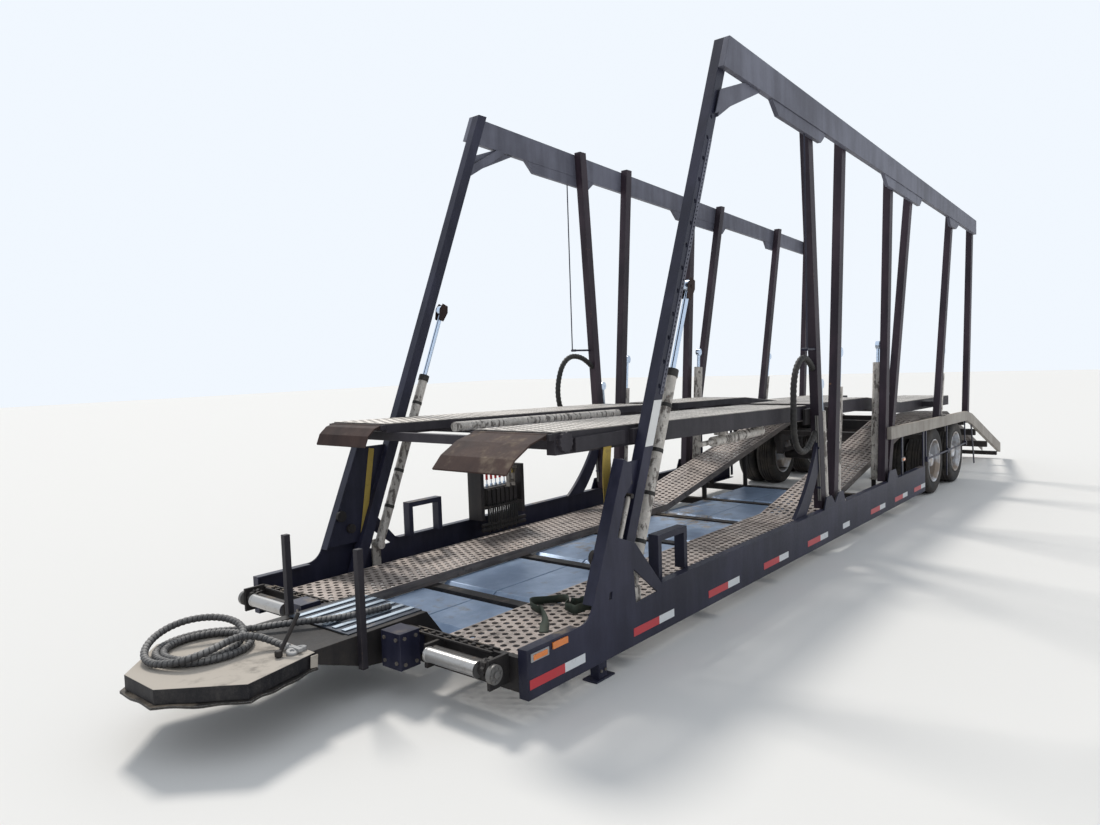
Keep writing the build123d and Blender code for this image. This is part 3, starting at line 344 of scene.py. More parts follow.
# %% The worn paints of the frame
# Partly painted sheen: the black paint's blue tint stands for sky light on its faces; its dust, rust and worn
# corners are its own.
BLACK = worn_steel(
    "worn_black_sky_sheen", (0.011, 0.012, 0.026), (0.028, 0.029, 0.058), 0.2, 0.12, 0.42,
    worn=(0.085, 0.09, 0.12), haze=0.2, Specular_IOR_Level=0.25,
)
RAIL = worn_steel(
    "faded_rail", (0.082, 0.083, 0.110), (0.160, 0.165, 0.212), 0.2, 0.12, 0.5,
    worn=(0.20, 0.21, 0.25), haze=0.15, Specular_IOR_Level=0.3,
)
POST = worn_steel(
    "rusty_post", (0.016, 0.011, 0.018), (0.047, 0.030, 0.043), 0.15, 0.42, 0.5,
    worn=(0.15, 0.12, 0.13), haze=0.2, Specular_IOR_Level=0.25,
)
DECK = worn_steel(
    "deck_frame", (0.019, 0.017, 0.022), (0.043, 0.038, 0.047), 0.10, 0.28, 0.55,
    worn=(0.12, 0.11, 0.11), haze=0.2, Specular_IOR_Level=0.25,
)
FRAME_DARK = worn_steel(
    "dusty_frame", (0.015, 0.014, 0.015), (0.036, 0.031, 0.030), 0.24, 0.32, 0.58,
    worn=(0.12, 0.10, 0.09), Specular_IOR_Level=0.25,
)
TAN = worn_steel(
    "faded_tan", (0.24, 0.21, 0.18), (0.40, 0.37, 0.33), 0.4, 0.25, 0.6, worn=(0.14, 0.13, 0.12),
)
NOSE = worn_steel(
    "nose_plate", (0.009, 0.009, 0.012), (0.019, 0.018, 0.020), 0.74, 0.12, 0.6,
    powder_color=(0.54, 0.49, 0.43), haze=0.12, Specular_IOR_Level=0.2,
)
LIP = worn_steel(
    "nose_lip", (0.018, 0.017, 0.017), (0.038, 0.035, 0.033), 0.3, 0.2, 0.55,
    worn=(0.42, 0.40, 0.38), wear=0.9, Specular_IOR_Level=0.25,
)
RUSTY = worn_steel(
    "rusty_plate", (0.031, 0.020, 0.019), (0.068, 0.040, 0.034), 0.16, 0.40, 0.7,
    worn=(0.13, 0.10, 0.085), haze=0.2, Specular_IOR_Level=0.15,
)
# Painted reflection: the belly sheet's blue paint, faded and worn colours stand for the sky mirrored in it;
# its dust and rust are its own.
SKY_TINTED_SHEET = worn_steel(
    "belly_sheet_painted_sky", (0.18, 0.26, 0.40), (0.32, 0.43, 0.60), 0.22, 0.06, 0.36,
    worn=(0.46, 0.52, 0.60), Metallic=0.3,
)
print("worn finishes:", [m.name for m in (BLACK, RAIL, POST, DECK, FRAME_DARK, TAN, NOSE, LIP, RUSTY, SKY_TINTED_SHEET)])

# %% [markdown]
# ## The other finishes
# Tracks are galvanised plate, worn bright where tyres roll and brown in between, with painted shade
# on their sides and in their holes. Lift barrels were white and are now scratched black. Rods are
# chrome tinted blue by a painted sky reflection, tyres are dusty rubber, and lamps and tapes are
# clean colours with a little dirt. Each could be one flat colour, but a flat colour looks like
# plastic at any size, so each recipe mixes two or three noises of different width.

# %% Track plate, barrels, chrome
def track_plate(name, brown, pale, metal):
    """Dusty galvanised plate: pale where it is worn, brown and dark in patches, with painted shade on its
    sides and hole walls.
    """
    f = Finish(name, Metallic=metal)
    clouds = f.noise(2.2, 4)
    spots = f.noise(14, 5)
    fine = f.noise(90, 4)
    lines = f.noise(1, 4, f.stretched(3, 34, 34))
    color = f.tint(f.soft(clouds * 0.5 + lines * 0.5, 0.36, 0.56), brown, pale)
    color = f.tint(f.soft(spots, 0.57, 0.70) * 0.65, color, (0.08, 0.07, 0.066))
    color = f.tint(f.soft(fine + clouds * 0.4, 0.80, 0.92) * 0.5, color, RUST_PALE)
    # Painted shade: faces that do not look up, which are the plate's edges and hole walls, are darkened
    # towards near black.
    side = 1 - f.soft(f.up, 0.3, 0.8)
    color = f.tint(side * 0.6, color, (0.06, 0.055, 0.055))
    return f.done(color, spots * 0.3 + fine * 0.15 + 0.32, fine + spots * 0.5, 0.3, 0.001)


def lift_barrel():
    """Dirty white paint, rubbed through in dark streaks along the barrel."""
    f = Finish("lift_barrel")
    streaks = f.noise(1, 5, f.stretched(26, 26, 5))
    spots = f.noise(22, 5)
    fine = f.noise(120, 3)
    color = f.tint(f.soft(spots, 0.35, 0.65), (0.46, 0.43, 0.39), (0.66, 0.62, 0.57))
    scratched = f.soft(streaks * 0.6 + spots * 0.4, 0.50, 0.57)
    color = f.tint(scratched * 0.85, color, (0.075, 0.062, 0.055))
    color = f.tint(f.soft(fine, 0.58, 0.72) * 0.4, color, RUST_PALE)
    return f.done(color, scratched * 0.25 + 0.45, streaks + fine * 0.3, 0.25, 0.001)


def chrome():
    """Polished rod with faint dust; its blue colour is a painted sky reflection."""
    f = Finish("chrome_rod", Metallic=1.0)
    fine = f.noise(80, 4)
    # Painted reflection: the blue base colour stands for the sky mirrored in the rod; the grey patches are
    # dust.
    color = f.tint(f.soft(fine, 0.45, 0.8) * 0.4, (0.55, 0.65, 0.79), (0.36, 0.36, 0.36))
    return f.done(color, fine * 0.2 + 0.08)


TRACK = track_plate("lower_track_plate", (0.17, 0.14, 0.125), (0.44, 0.38, 0.345), 0.25)
UPPER_TRACK = track_plate("upper_track_plate", (0.34, 0.31, 0.28), (0.66, 0.62, 0.57), 0.5)
BARREL = lift_barrel()
SKY_TINTED_CHROME = chrome()
print("bright finishes:", [m.name for m in (TRACK, UPPER_TRACK, BARREL, SKY_TINTED_CHROME)])

# %% [markdown]
# The nose hose lies in a spiral guard, a plastic band wound round the rubber. A stripe pattern on
# Object coordinates would slide off the hose in its turns. So the skin of the hose carries its own
# value, 1 on the band and 0 in the groove, and the finish reads that value.

# %% Rubber, the spiral guard and wheel steel
def rubber(name, dark, dusty, amount, rough=0.78):
    """Black rubber with dust in its hollows."""
    f = Finish(name, Specular_IOR_Level=0.35)
    clouds = f.noise(5, 4)
    fine = f.noise(120, 4)
    color = f.tint(f.soft(clouds * 0.6 + fine * 0.4, 0.40, 0.66) * amount, dark, dusty)
    return f.done(color, fine * 0.2 + (rough - 0.1), fine, 0.3, 0.0008)


def spiral_guard(name, groove, band, dusty):
    """Hose in a spiral guard, coloured by the skin's own "wrap" value, dustier where it looks up."""
    f = Finish(name, Specular_IOR_Level=0.35)
    wrap = f.node("ShaderNodeAttribute", {"attribute_name": "wrap"}, {}, "Fac")
    clouds = f.noise(5, 4)
    fine = f.noise(120, 4)
    top = f.soft(f.up, -0.1, 0.9)
    pale = f.tint(top * f.soft(clouds * 0.6 + fine * 0.4, 0.38, 0.62), band, dusty)
    color = f.tint(f.soft(wrap, 0.02, 0.40), groove, pale)
    return f.done(color, fine * 0.2 + 0.5, fine, 0.3, 0.0008)


def wheel_steel():
    """Dull light wheel steel, browned by brake dust."""
    f = Finish("wheel_steel", Metallic=0.55)
    clouds = f.noise(4, 5)
    fine = f.noise(70, 4)
    color = f.tint(f.soft(clouds, 0.38, 0.62), (0.66, 0.68, 0.72), (0.34, 0.28, 0.23))
    color = f.tint(f.soft(fine, 0.60, 0.75) * 0.6, color, RUST)
    return f.done(color, clouds * 0.3 + 0.35, fine, 0.25, 0.001)


TYRE = rubber("tyre_rubber", (0.024, 0.023, 0.023), (0.12, 0.10, 0.082), 0.5)
HOSE = spiral_guard("spiral_guard", (0.022, 0.022, 0.024), (0.062, 0.062, 0.066), (0.31, 0.30, 0.29))
TIE = rubber("tie_rubber", (0.014, 0.014, 0.014), (0.09, 0.08, 0.07), 0.4, 0.6)
WHEEL = wheel_steel()
print("rubber and wheels:", [m.name for m in (TYRE, HOSE, TIE, WHEEL)])

# %% [markdown]
# Lenses, tapes, straps, grips and bare tubes are small things of one colour each. A material made
# by hand for each would do, but thirteen of them stay alike more easily as calls of one function,
# which adds specks and a film of dirt to the colour.

# %% Small clean colours
def small_colour(name, colour, dirt=0.35, rough=0.4, **constants):
    """A clean colour with specks and a film of dirt."""
    f = Finish(name, **constants)
    spots = f.noise(18, 5)
    fine = f.noise(140, 3)
    dirty = f.soft(spots * 0.6 + fine * 0.4, 0.50, 0.72) * dirt
    color = f.tint(dirty, colour, (0.16, 0.125, 0.09))
    return f.done(color, dirty * 0.4 + rough, fine, 0.12, 0.0005)


TAPE_RED = small_colour("tape_red", (0.55, 0.018, 0.03), 0.25, 0.3, Coat_Weight=0.4)
TAPE_WHITE = small_colour("tape_white", (0.72, 0.74, 0.76), 0.25, 0.3, Coat_Weight=0.4)
AMBER = small_colour("amber_lens", (0.80, 0.22, 0.03), 0.2, 0.2, Coat_Weight=0.8)
RED_LENS = small_colour("red_lens", (0.42, 0.02, 0.02), 0.3, 0.2, Coat_Weight=0.8)
RED_GRIP = small_colour("red_grip", (0.62, 0.02, 0.02), 0.25, 0.45)
GREY_HOUSING = small_colour("grey_housing", (0.34, 0.34, 0.34), 0.5, 0.5)
TAG_WHITE = small_colour("bare_tag", (0.74, 0.74, 0.73), 0.12, 0.5)
STRAP_YELLOW = small_colour("strap_yellow", (0.50, 0.36, 0.08), 0.7, 0.85)
STRAP_GREEN = small_colour("strap_green", (0.045, 0.06, 0.045), 0.6, 0.85)
BOLT = small_colour("bolt_steel", (0.20, 0.18, 0.16), 0.6, 0.5, Metallic=0.6)
PIPE_GREY = small_colour("pipe_grey", (0.15, 0.145, 0.14), 0.6, 0.45, Metallic=0.3)
BARE_TUBE = small_colour("bare_tube", (0.42, 0.41, 0.40), 0.5, 0.28, Metallic=0.8)
WORN_EDGE = small_colour("worn_edge", (0.42, 0.38, 0.33), 0.6, 0.6, Metallic=0.2)
print("finishes so far:", len(bpy.data.materials))

# %% [markdown]
# ## Finishes on the packed pieces
# The record names a material slot for every node. The shapes that are right as they are only need
# the matching finish in that slot, so one table by slot dresses them all, and a short second table
# names the few nodes that have faded or rusted in their own way. The ribbed plate between the neck
# beams is told apart by height: its rib tops are pale in patches and its valleys are dark.

# %% The ribbed plate shows its height
RIB_EDGE = 0.006


def ribbed_finish():
    """Blue-grey plate: dark between the ribs, pale along their tops."""
    f = Finish("ribbed_plate", Metallic=0.3)
    crown_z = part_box("ribbed_plate")[1][2]
    height = f.node("ShaderNodeSeparateXYZ", {}, {0: f.place}, 2)
    crown = f.soft(height, crown_z - RIB_EDGE, crown_z - 0.001)
    fine = f.noise(60, 5)
    spots = f.noise(7, 4)
    color = f.tint(f.soft(spots, 0.35, 0.65), (0.026, 0.036, 0.056), (0.062, 0.075, 0.100))
    color = f.tint(crown * f.soft(spots * 0.7 + fine * 0.3, 0.25, 0.42), color, (0.46, 0.54, 0.62))
    color = f.tint(f.soft(spots * 0.5 + fine * 0.5, 0.56, 0.66) * 0.5, color, SAND)
    return f.done(color, fine * 0.3 + 0.35, fine, 0.25, 0.001)


RIBBED = ribbed_finish()
print("ribbed plate:", RIBBED.name)

# %% Give every node its finish
FINISH_OF_SLOT = {
    "black_paint": BLACK, "dark_frame": FRAME_DARK, "deck_plate": TRACK, "sheet_steel": SKY_TINTED_SHEET,
    "tan_paint": TAN, "nose_paint": NOSE, "rusty_plate": RUSTY, "barrel_paint": BARREL,
    "chrome_rod": SKY_TINTED_CHROME, "tyre_rubber": TYRE, "rim_steel": WHEEL, "hose_rubber": HOSE,
    "red_lens": RED_LENS, "lever_red": RED_GRIP,
}
FINISH_OF_NODE = {
    "ribbed_plate": RIBBED, "top_rails": RAIL, "rail_gussets": RAIL, "rear_posts": POST,
    "front_deck": DECK, "rear_deck": DECK, "nose_stakes": DECK,
}
SLOT_OF_NODE = {row["node"]: row["material_slot"] for row in frame["record"]["subparts"]}
for name, node in NODES.items():
    finish = FINISH_OF_NODE.get(name) or FINISH_OF_SLOT[SLOT_OF_NODE[name]]
    if not node.material_slots:
        node.data.materials.append(finish)
    for entry in node.material_slots:
        entry.material = finish
print("nodes dressed:", len(NODES))

# %% [markdown]
# ## Making meshes from arrays
# Each new piece is an array of points and blocks of point numbers, one row for each face. Modelling
# by hand or adding primitives would do for one bolt, but rows of hundreds need arrays. A station is
# a distance behind the nose tip, the way a trailer maker measures, so one helper turns stations
# into X. Each finished piece says its volume, which is positive when its faces point outwards.

# %% Points, faces and a finished piece
NOSE_X = round(CAD_BOX[1][0], 4)
HALF_WIDTH = round(CAD_BOX[1][1], 4)


def at(station, y, z):
    """Point or points in the frame from station, width and height, all in metres."""
    return np.stack(np.broadcast_arrays(NOSE_X - np.asarray(station), y, z), axis=-1).astype(float)


def signed_volume(mesh):
    """Volume of a closed mesh: the sum over its triangles of a . (b x c) / 6."""
    mesh.calc_loop_triangles()
    places = np.zeros(len(mesh.vertices) * 3)
    mesh.vertices.foreach_get("co", places)
    rows = np.zeros(len(mesh.loop_triangles) * 3, int)
    mesh.loop_triangles.foreach_get("vertices", rows)
    a, b, c = np.moveaxis(places.reshape(-1, 3)[rows.reshape(-1, 3)], 1, 0)
    return np.einsum("ij,ij->i", a, np.cross(b, c)).sum() / 6


def piece(name, part, finish, slot, body="trailer_frame", smooth=False, bevel=0.0):
    """An object from a part, which is points (n, 3) and blocks of faces; a bevel rounds its corners."""
    points, faces = part
    mesh = bpy.data.meshes.new(name)
    rows = [row for block in faces for row in np.asarray(block).tolist()]
    mesh.from_pydata(np.asarray(points, float).tolist(), [], rows)
    mesh.polygons.foreach_set("use_smooth", np.full(len(rows), smooth))
    mesh.materials.append(finish)
    mesh.update()
    obj = bpy.data.objects.new(name, mesh)
    bpy.context.scene.collection.objects.link(obj)
    if bevel:
        rounding = obj.modifiers.new("rounded", "BEVEL")
        rounding.width = bevel
        rounding.segments = 2
        rounding.limit_method = "ANGLE"
    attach(obj, body)
    print(f"{name}: {len(rows)} faces, volume {signed_volume(mesh):.6f} m3")
    return obj


print("nose at x", NOSE_X, "half width", HALF_WIDTH)

# %% [markdown]
# The real trailer is built left and right alike. A Mirror modifier would copy a side, but it works
# on a finished object, while arrays can be joined and mirrored before there is one. A mirror image
# turns faces inside out, so its rows are walked the other way round.

# %% Joining and mirroring parts
def joined(*parts):
    """Several parts as one: each part's point numbers moved up by the points before it."""
    points, faces, count = [], [], 0
    for some, blocks in parts:
        points.append(some)
        faces += [np.asarray(block) + count for block in blocks]
        count += len(some)
    return np.concatenate(points), faces


def flipped(faces):
    """The same faces walked the other way round, so that they look out of their other side."""
    return [np.asarray(block)[:, ::-1] for block in faces]


def mirrored(part):
    """The part's image across the middle of the trailer, y to -y, with its faces kept outward."""
    points, faces = part
    return points * (1, -1, 1), flipped(faces)


def both(part):
    """A part with its mirror image."""
    return joined(part, mirrored(part))


print("a face turned over:", flipped([[[0, 1, 2, 3]]])[0][0])

# %% [markdown]
# Four kinds of solid make nearly everything below: boxes, straight round bars, tubes along a line,
# and turned solids. All but the boxes are rings of points joined by quads, so they share one
# function for the rings and one for the faces.

# %% Rings and the faces between them
def unit(v):
    """Vectors divided by their own length."""
    return v / np.linalg.norm(v, axis=-1, keepdims=True)


def circles(ahead, across, around):
    """Unit circles square to vectors ahead: cos(turn) * side + sin(turn) * up at every angle."""
    side = unit(np.cross(ahead, across))
    up = np.cross(side, ahead)
    turn = 2 * np.pi * np.arange(around)[:, None] / around
    return np.cos(turn) * side[:, None] + np.sin(turn) * up[:, None]


def grid_faces(rows, columns, wrap_rows=False, wrap_columns=True):
    """Quads of a grid of points, joined round where asked."""
    r = np.arange(rows if wrap_rows else rows - 1)[:, None]
    c = np.arange(columns if wrap_columns else columns - 1)[None, :]
    r1, c1 = (r + 1) % rows, (c + 1) % columns
    corners = [r * columns + c, r * columns + c1, r1 * columns + c1, r1 * columns + c]
    return np.stack(corners, axis=-1).reshape(-1, 4)


def tube_faces(rings, around):
    """Quads between the rings of a tube, and a cap on each of its ends."""
    last = (rings - 1) * around + np.arange(around)
    return [grid_faces(rings, around)[:, ::-1], np.arange(around)[None], last[None, ::-1]]


print("faces of a hexagon bar:", sum(len(block) for block in tube_faces(2, 6)))

# %% Boxes, bars, tubes and turned solids
PICK_HIGH = np.array([[i >> 2 & 1, i >> 1 & 1, i & 1] for i in range(8)], bool)
BOX_FACES = np.array([[0, 1, 3, 2], [4, 6, 7, 5], [0, 4, 5, 1], [2, 3, 7, 6], [0, 2, 6, 4], [1, 5, 7, 3]])


def slabs(s0, s1, y0, y1, z0, z1):
    """Boxes between stations, widths and heights: the eight mixes of low and high corner."""
    a, b = at(s0, y0, z0), at(s1, y1, z1)
    low, high = np.atleast_2d(np.minimum(a, b), np.maximum(a, b))
    points = np.where(PICK_HIGH, high[:, None], low[:, None])
    faces = BOX_FACES + 8 * np.arange(len(points))[:, None, None]
    return points.reshape(-1, 3), [faces.reshape(-1, 4)]


def bars(starts, ends, radius, around=12):
    """Many straight round bars, each from a start point to an end point."""
    starts, ends = np.atleast_2d(starts).astype(float), np.atleast_2d(ends).astype(float)
    ahead = unit(ends - starts)
    across = np.where(np.abs(ahead[:, 2:]) > 0.9, [[1.0, 0, 0]], [[0, 0, 1.0]])
    radius = np.broadcast_to(radius, len(starts))
    ring = radius[:, None, None] * circles(ahead, across, around)
    points = np.stack([starts[:, None] + ring, ends[:, None] + ring], axis=1)
    shift = 2 * around * np.arange(len(starts))[:, None, None]
    faces = [(block + shift).reshape(-1, block.shape[1]) for block in tube_faces(2, around)]
    return points.reshape(-1, 3), faces


def tube(line, radii, across):
    """Tube along a line: each point moved out by its row of radii, one for every angle."""
    ring = circles(unit(np.gradient(line, axis=0)), across, radii.shape[1])
    return (line[:, None] + radii[..., None] * ring).reshape(-1, 3), tube_faces(*radii.shape)


def turned(profile, start, ahead, around=20):
    """Solid of revolution from rows of distance along the axis and radius, closed at both ends."""
    profile, ahead = np.asarray(profile, float), np.asarray(ahead, float)
    across = (0, 0, 1) if abs(ahead[2]) < 0.9 else (1, 0, 0)
    line = start + profile[:, :1] * ahead
    points = line[:, None] + profile[:, 1, None, None] * circles(ahead[None], across, around)
    return points.reshape(-1, 3), tube_faces(len(line), around)


def prism(outline, y0, y1):
    """Straight-sided plate between two widths, from a side view of stations and heights."""
    s, z = np.asarray(outline, float).T
    if np.sum(s * np.roll(z, -1) - np.roll(s, -1) * z) < 0:
        s, z = s[::-1], z[::-1]
    n = len(s)
    near, after = np.arange(n), np.roll(np.arange(n), -1)
    wall = np.stack([near, after, after + n, near + n], axis=1)
    return np.concatenate([at(s, y0, z), at(s, y1, z)]), [wall, near[None, ::-1], near[None] + n]


print("faces of a box:", len(BOX_FACES))

# %% [markdown]
# ## Hoses first
# The hose from the neck lies on the nose in loose turns, and a thick wrapped bundle hangs in a loop
# in front of the second post on each side. A simulated rope would find its own lie, but not the one
# in the photograph. A real hose keeps its length and bends in one smooth line, so each route is a
# NURBS spline through listed points, and the skin follows the points that Blender reads
# from it. The wrap is a ridge that climbs round the skin once for every pitch along it.

# %% A route's own smooth line
def travelled(line):
    """Distance along a line up to each of its points."""
    return np.r_[0, np.cumsum(np.linalg.norm(np.diff(line, axis=0), axis=1))]


def smooth_line(route, step):
    """Points of the NURBS line through control points, spread evenly along its length."""
    curve = bpy.data.curves.new("route", "CURVE")
    curve.dimensions = "3D"
    curve.resolution_u = 16
    spline = curve.splines.new("NURBS")
    spline.points.add(len(route) - 1)
    spline.points.foreach_set("co", np.c_[route, np.ones(len(route))].ravel())
    spline.order_u = 3
    spline.use_endpoint_u = True
    holder = bpy.data.objects.new("route", curve)
    bpy.context.scene.collection.objects.link(holder)
    bpy.context.view_layer.update()
    mesh = bpy.data.meshes.new_from_object(holder)
    places = np.zeros(len(mesh.vertices) * 3)
    mesh.vertices.foreach_get("co", places)
    bpy.data.objects.remove(holder)
    bpy.data.curves.remove(curve)
    bpy.data.meshes.remove(mesh)
    line = places.reshape(-1, 3)
    line = line[np.r_[True, np.diff(travelled(line)) > 1e-6]]
    reach = travelled(line)
    even = np.linspace(0, reach[-1], max(8, int(reach[-1] / step)))
    return np.stack([np.interp(even, reach, line[:, i]) for i in range(3)], axis=1), reach[-1]


def wrapped_hose(name, route, radius, pitch, ridge, across, finish, around=16):
    """Hose with a climbing wrap: radius + ridge * (tent - 1/2), tent of distance/pitch - angle."""
    line, length = smooth_line(route, pitch / 4)
    travel = np.linspace(0, length, len(line))[:, None] / pitch
    phase = (travel - np.arange(around)[None, :] / around) % 1
    tent = np.clip(1.6 * (1 - np.abs(2 * phase - 1)) - 0.3, 0, 1)
    skin = tube(line, radius - ridge / 2 + ridge * tent, across)
    hose = piece(name, skin, finish, "hose_rubber", smooth=True)
    hose.data.attributes.new("wrap", "FLOAT", "POINT").data.foreach_set("value", tent.ravel())
    print(name, "length", round(length, 3))
    return hose, line, length

# %% [markdown]
# The nose hose comes down from the neck, makes two wide turns that draw in, climbs into a smaller
# turn and runs out to its end. A helix with one pitch would stack it like a spring. Here heights
# are given point by point, so that the turns lie on the plate and on one another.

# %% The hose on the nose
NOSE_HOSE_R = 0.0185
NOSE_HOSE_LIES = 0.3905
COIL_FROM_DEGREES = -25
TURN_POINTS = 12


def coil(station, y, radius, height):
    """Control points of turns seen from above: middle + radius * (cos, sin), TURN_POINTS to a turn."""
    turn = np.radians(COIL_FROM_DEGREES - 360 / TURN_POINTS * np.arange(len(height)))
    return at(station + radius * np.cos(turn), y + radius * np.sin(turn), height)


# The wide turns lie flat and draw in as they go; the small ones climb over them and come down again.
WIDE_HEIGHTS = np.r_[np.full(20, NOSE_HOSE_LIES), 0.396, 0.413, 0.438, 0.464]
WIDE_RADII = 0.262 - 0.038 * np.arange(len(WIDE_HEIGHTS)) / TURN_POINTS
SMALL_HEIGHTS = np.array([0.484, 0.492, 0.480, 0.452, 0.420, 0.396, 0.398, 0.416, 0.440, 0.458])
SMALL_STATIONS = np.r_[0.384, 0.366, np.full(8, 0.362)]
ARRIVE = at(
    [1.420, 1.260, 1.100, 0.960, 0.850, 0.760],
    [0.150, 0.130, 0.070, -0.030, -0.110, -0.175],
    [0.3983, 0.3983, 0.3983, 0.3983, 0.3983, 0.392],
)
LEAVE = at([0.540, 0.606, 0.652, 0.674], [0.056, 0.084, 0.140, 0.222], [0.456, 0.436, 0.410, NOSE_HOSE_LIES])
NOSE_ROUTE = np.concatenate([
    ARRIVE, coil(0.430, -0.140, WIDE_RADII, WIDE_HEIGHTS),
    coil(SMALL_STATIONS, -0.150, 0.232, SMALL_HEIGHTS), LEAVE,
])
nose_hose, nose_line, nose_length = wrapped_hose(
    "nose_hose", NOSE_ROUTE, NOSE_HOSE_R, 0.027, 0.003, (0, 0, 1), HOSE
)

# %% [markdown]
# Each loop leaves its post, bends forward and down under its own weight and comes back lower down.
# One could be mirrored to give the other, but the two real ones hang differently, so each has its
# own points in side view.

# %% The hose loops on the posts
LOOP_R = 0.026
LOOP_Y = 1.212
LOOPS = {
    "left": [
        (5.3626, 1.690), (5.262, 1.772), (5.130, 1.796), (5.004, 1.722), (4.938, 1.590), (4.925, 1.430),
        (4.9255, 1.270), (4.932, 1.118), (5.005, 1.004), (5.140, 0.962), (5.300, 1.030), (5.3999, 1.120),
    ],
    "right": [
        (5.3580, 1.760), (5.262, 1.830), (5.110, 1.880), (4.960, 1.876), (4.840, 1.790), (4.772, 1.640),
        (4.752, 1.490), (4.790, 1.340), (4.880, 1.220), (5.010, 1.150), (5.150, 1.110), (5.290, 1.120),
        (5.3960, 1.180),
    ],
}
for side, sign in (("left", 1), ("right", -1)):
    flat = np.array(LOOPS[side])
    route = at(flat[:, 0], sign * LOOP_Y, flat[:, 1])
    loop, loop_line, loop_length = wrapped_hose(
        f"{side}_loop_hose", route, LOOP_R, 0.042, 0.004, (0, 1, 0), TIE
    )
    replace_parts(loop, f"{side}_post_hose")
    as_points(loop_line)

# %% [markdown]
# The nose hose ends in a collar with a pair of quick couplings, whose pale metal faces lie on the
# plate. They could be cut from a CAD body, but they are small and round, so each is one turned
# profile, tilted a little its own way.

# %% Couplings at the hose's end
HOSE_END = nose_line[-1]
END_WAY = unit(nose_line[-1] - nose_line[-4])
END_SIDE = np.array([-END_WAY[1], END_WAY[0], 0])
COLLAR = [(-0.01, 0.018), (0.0, 0.022), (0.018, 0.022), (0.022, 0.015), (0.045, 0.015)]
COUPLING = [(-0.014, 0.018), (-0.012, 0.030), (0.006, 0.032), (0.010, 0.027), (0.010, 0.012), (0.004, 0.010)]
coupling_at = HOSE_END + END_WAY * 0.070
parts = [turned(COLLAR, HOSE_END, END_WAY)]
for offset, tilt in ((-0.030, 0.25), (0.034, -0.1)):
    middle = coupling_at + END_SIDE * offset + np.array([0, 0, 0.004])
    parts.append(turned(COUPLING, middle, unit(np.array([0.25 * tilt, tilt, 1.0]))))
bridge_s, bridge_y, bridge_z = NOSE_X - coupling_at[0], coupling_at[1], HOSE_END[2]
parts.append(slabs(
    bridge_s - 0.012, bridge_s + 0.012, bridge_y - 0.045, bridge_y + 0.045, bridge_z - 0.012, bridge_z + 0.006
))
couplings = piece("hose_couplings", joined(*parts), GREY_HOUSING, "chrome_rod", bevel=0.001)
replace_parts(nose_hose, "hose_run", "hose_coil")
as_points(nose_line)

# %% [markdown]
# ## Punched tracks
# The tracks are plates with rows of round holes, every second row moved by half a step. Cutting
# holes with booleans would be slow and rough, so the plate is laid out as a sheet of cells: each
# cell has six corners shared with its neighbours and a ring of points round its hole. The same
# sheet is then bent along the side-view line of the track.

# %% A sheet of cells with holes
def punched(columns, rows, ring):
    """Cells of a sheet in units of half steps (u) and rows (v).

    Point (k, j) of the lattice lies at u = k, v = j. A cell covers u from k to k + 2; its hole is a
    circle about (k + 1, j + 0.5). Returns lattice points, hole centres, and the rows of point
    numbers of the cells' corners, of their holes and of the half cells at the ends of odd rows.
    """
    wide = 2 * columns + 1
    lattice = np.stack(np.meshgrid(np.arange(wide), np.arange(rows + 1)), axis=-1).reshape(-1, 2)
    j, k = np.meshgrid(np.arange(rows), 2 * np.arange(columns), indexing="ij")
    k = k + j % 2
    keep = k + 2 < wide
    j, k = j[keep], k[keep]
    centres = np.stack([k + 1, j + 0.5], axis=1)
    low, high = j * wide + k, (j + 1) * wide + k
    corner = np.stack([low, low + 1, low + 2, high + 2, high + 1, high], axis=1)
    hole = len(lattice) + np.arange(len(k))[:, None] * ring + np.arange(ring)
    odd = np.arange(1, rows, 2) * wide
    ends = np.concatenate([odd, odd + wide - 2])
    half = np.stack([ends, ends + 1, ends + 1 + wide, ends + wide], axis=1)
    return lattice, centres, corner, hole, half


def punched_plate(columns, rows, hole_u, hole_v, shape, ring=16):
    """Closed plate with holes; shape(u, v, level) gives the points for level 0, top, and 1, underside."""
    lattice, centres, corner, hole, half = punched(columns, rows, ring)
    turn = np.radians(-135) + 2 * np.pi * np.arange(ring) / ring
    rim_u = centres[:, :1] + hole_u * np.cos(turn)
    rim_v = centres[:, 1:] + hole_v * np.sin(turn)
    flat = np.concatenate([lattice, np.stack([rim_u, rim_v], axis=-1).reshape(-1, 2)])
    points = np.concatenate([shape(*flat.T, level) for level in (0, 1)])
    many = len(flat)
    # Each of a cell's six sides takes its share of the hole's points, counted in eighths of a turn.
    shares = ring // 8 * np.array([0, 1, 2, 4, 5, 6, 8])
    top = []
    for a, (start, stop) in enumerate(zip(shares, shares[1:])):
        arc = hole[:, np.arange(stop, start - 1, -1) % ring]
        top.append(np.concatenate([corner[:, [a, (a + 1) % 6]], arc], axis=1))
    top.append(half)
    under = [block[:, ::-1] + many for block in top]
    after = np.roll(hole, -1, axis=1)
    bore = np.stack([hole, hole + many, after + many, after], axis=-1).reshape(-1, 4)
    wide = 2 * columns + 1
    k, j = np.arange(wide), np.arange(1, rows) * wide
    border = np.concatenate([k, wide - 1 + j, rows * wide + k[::-1], j[::-1]])
    after = np.roll(border, -1)
    rim = np.stack([border, border + many, after + many, after], axis=1)
    return points, flipped(top + under + [bore, rim])


print("holes in a sheet of 3 by 2 cells:", len(punched(3, 2, 8)[1]))

# %% [markdown]
# A real track is folded where the frame changes slope. A Curve modifier could bend the flat sheet,
# but the piece would then depend on a second object. Here the distance along the track is read back
# as station and height, so each row of holes keeps its distance from the next.

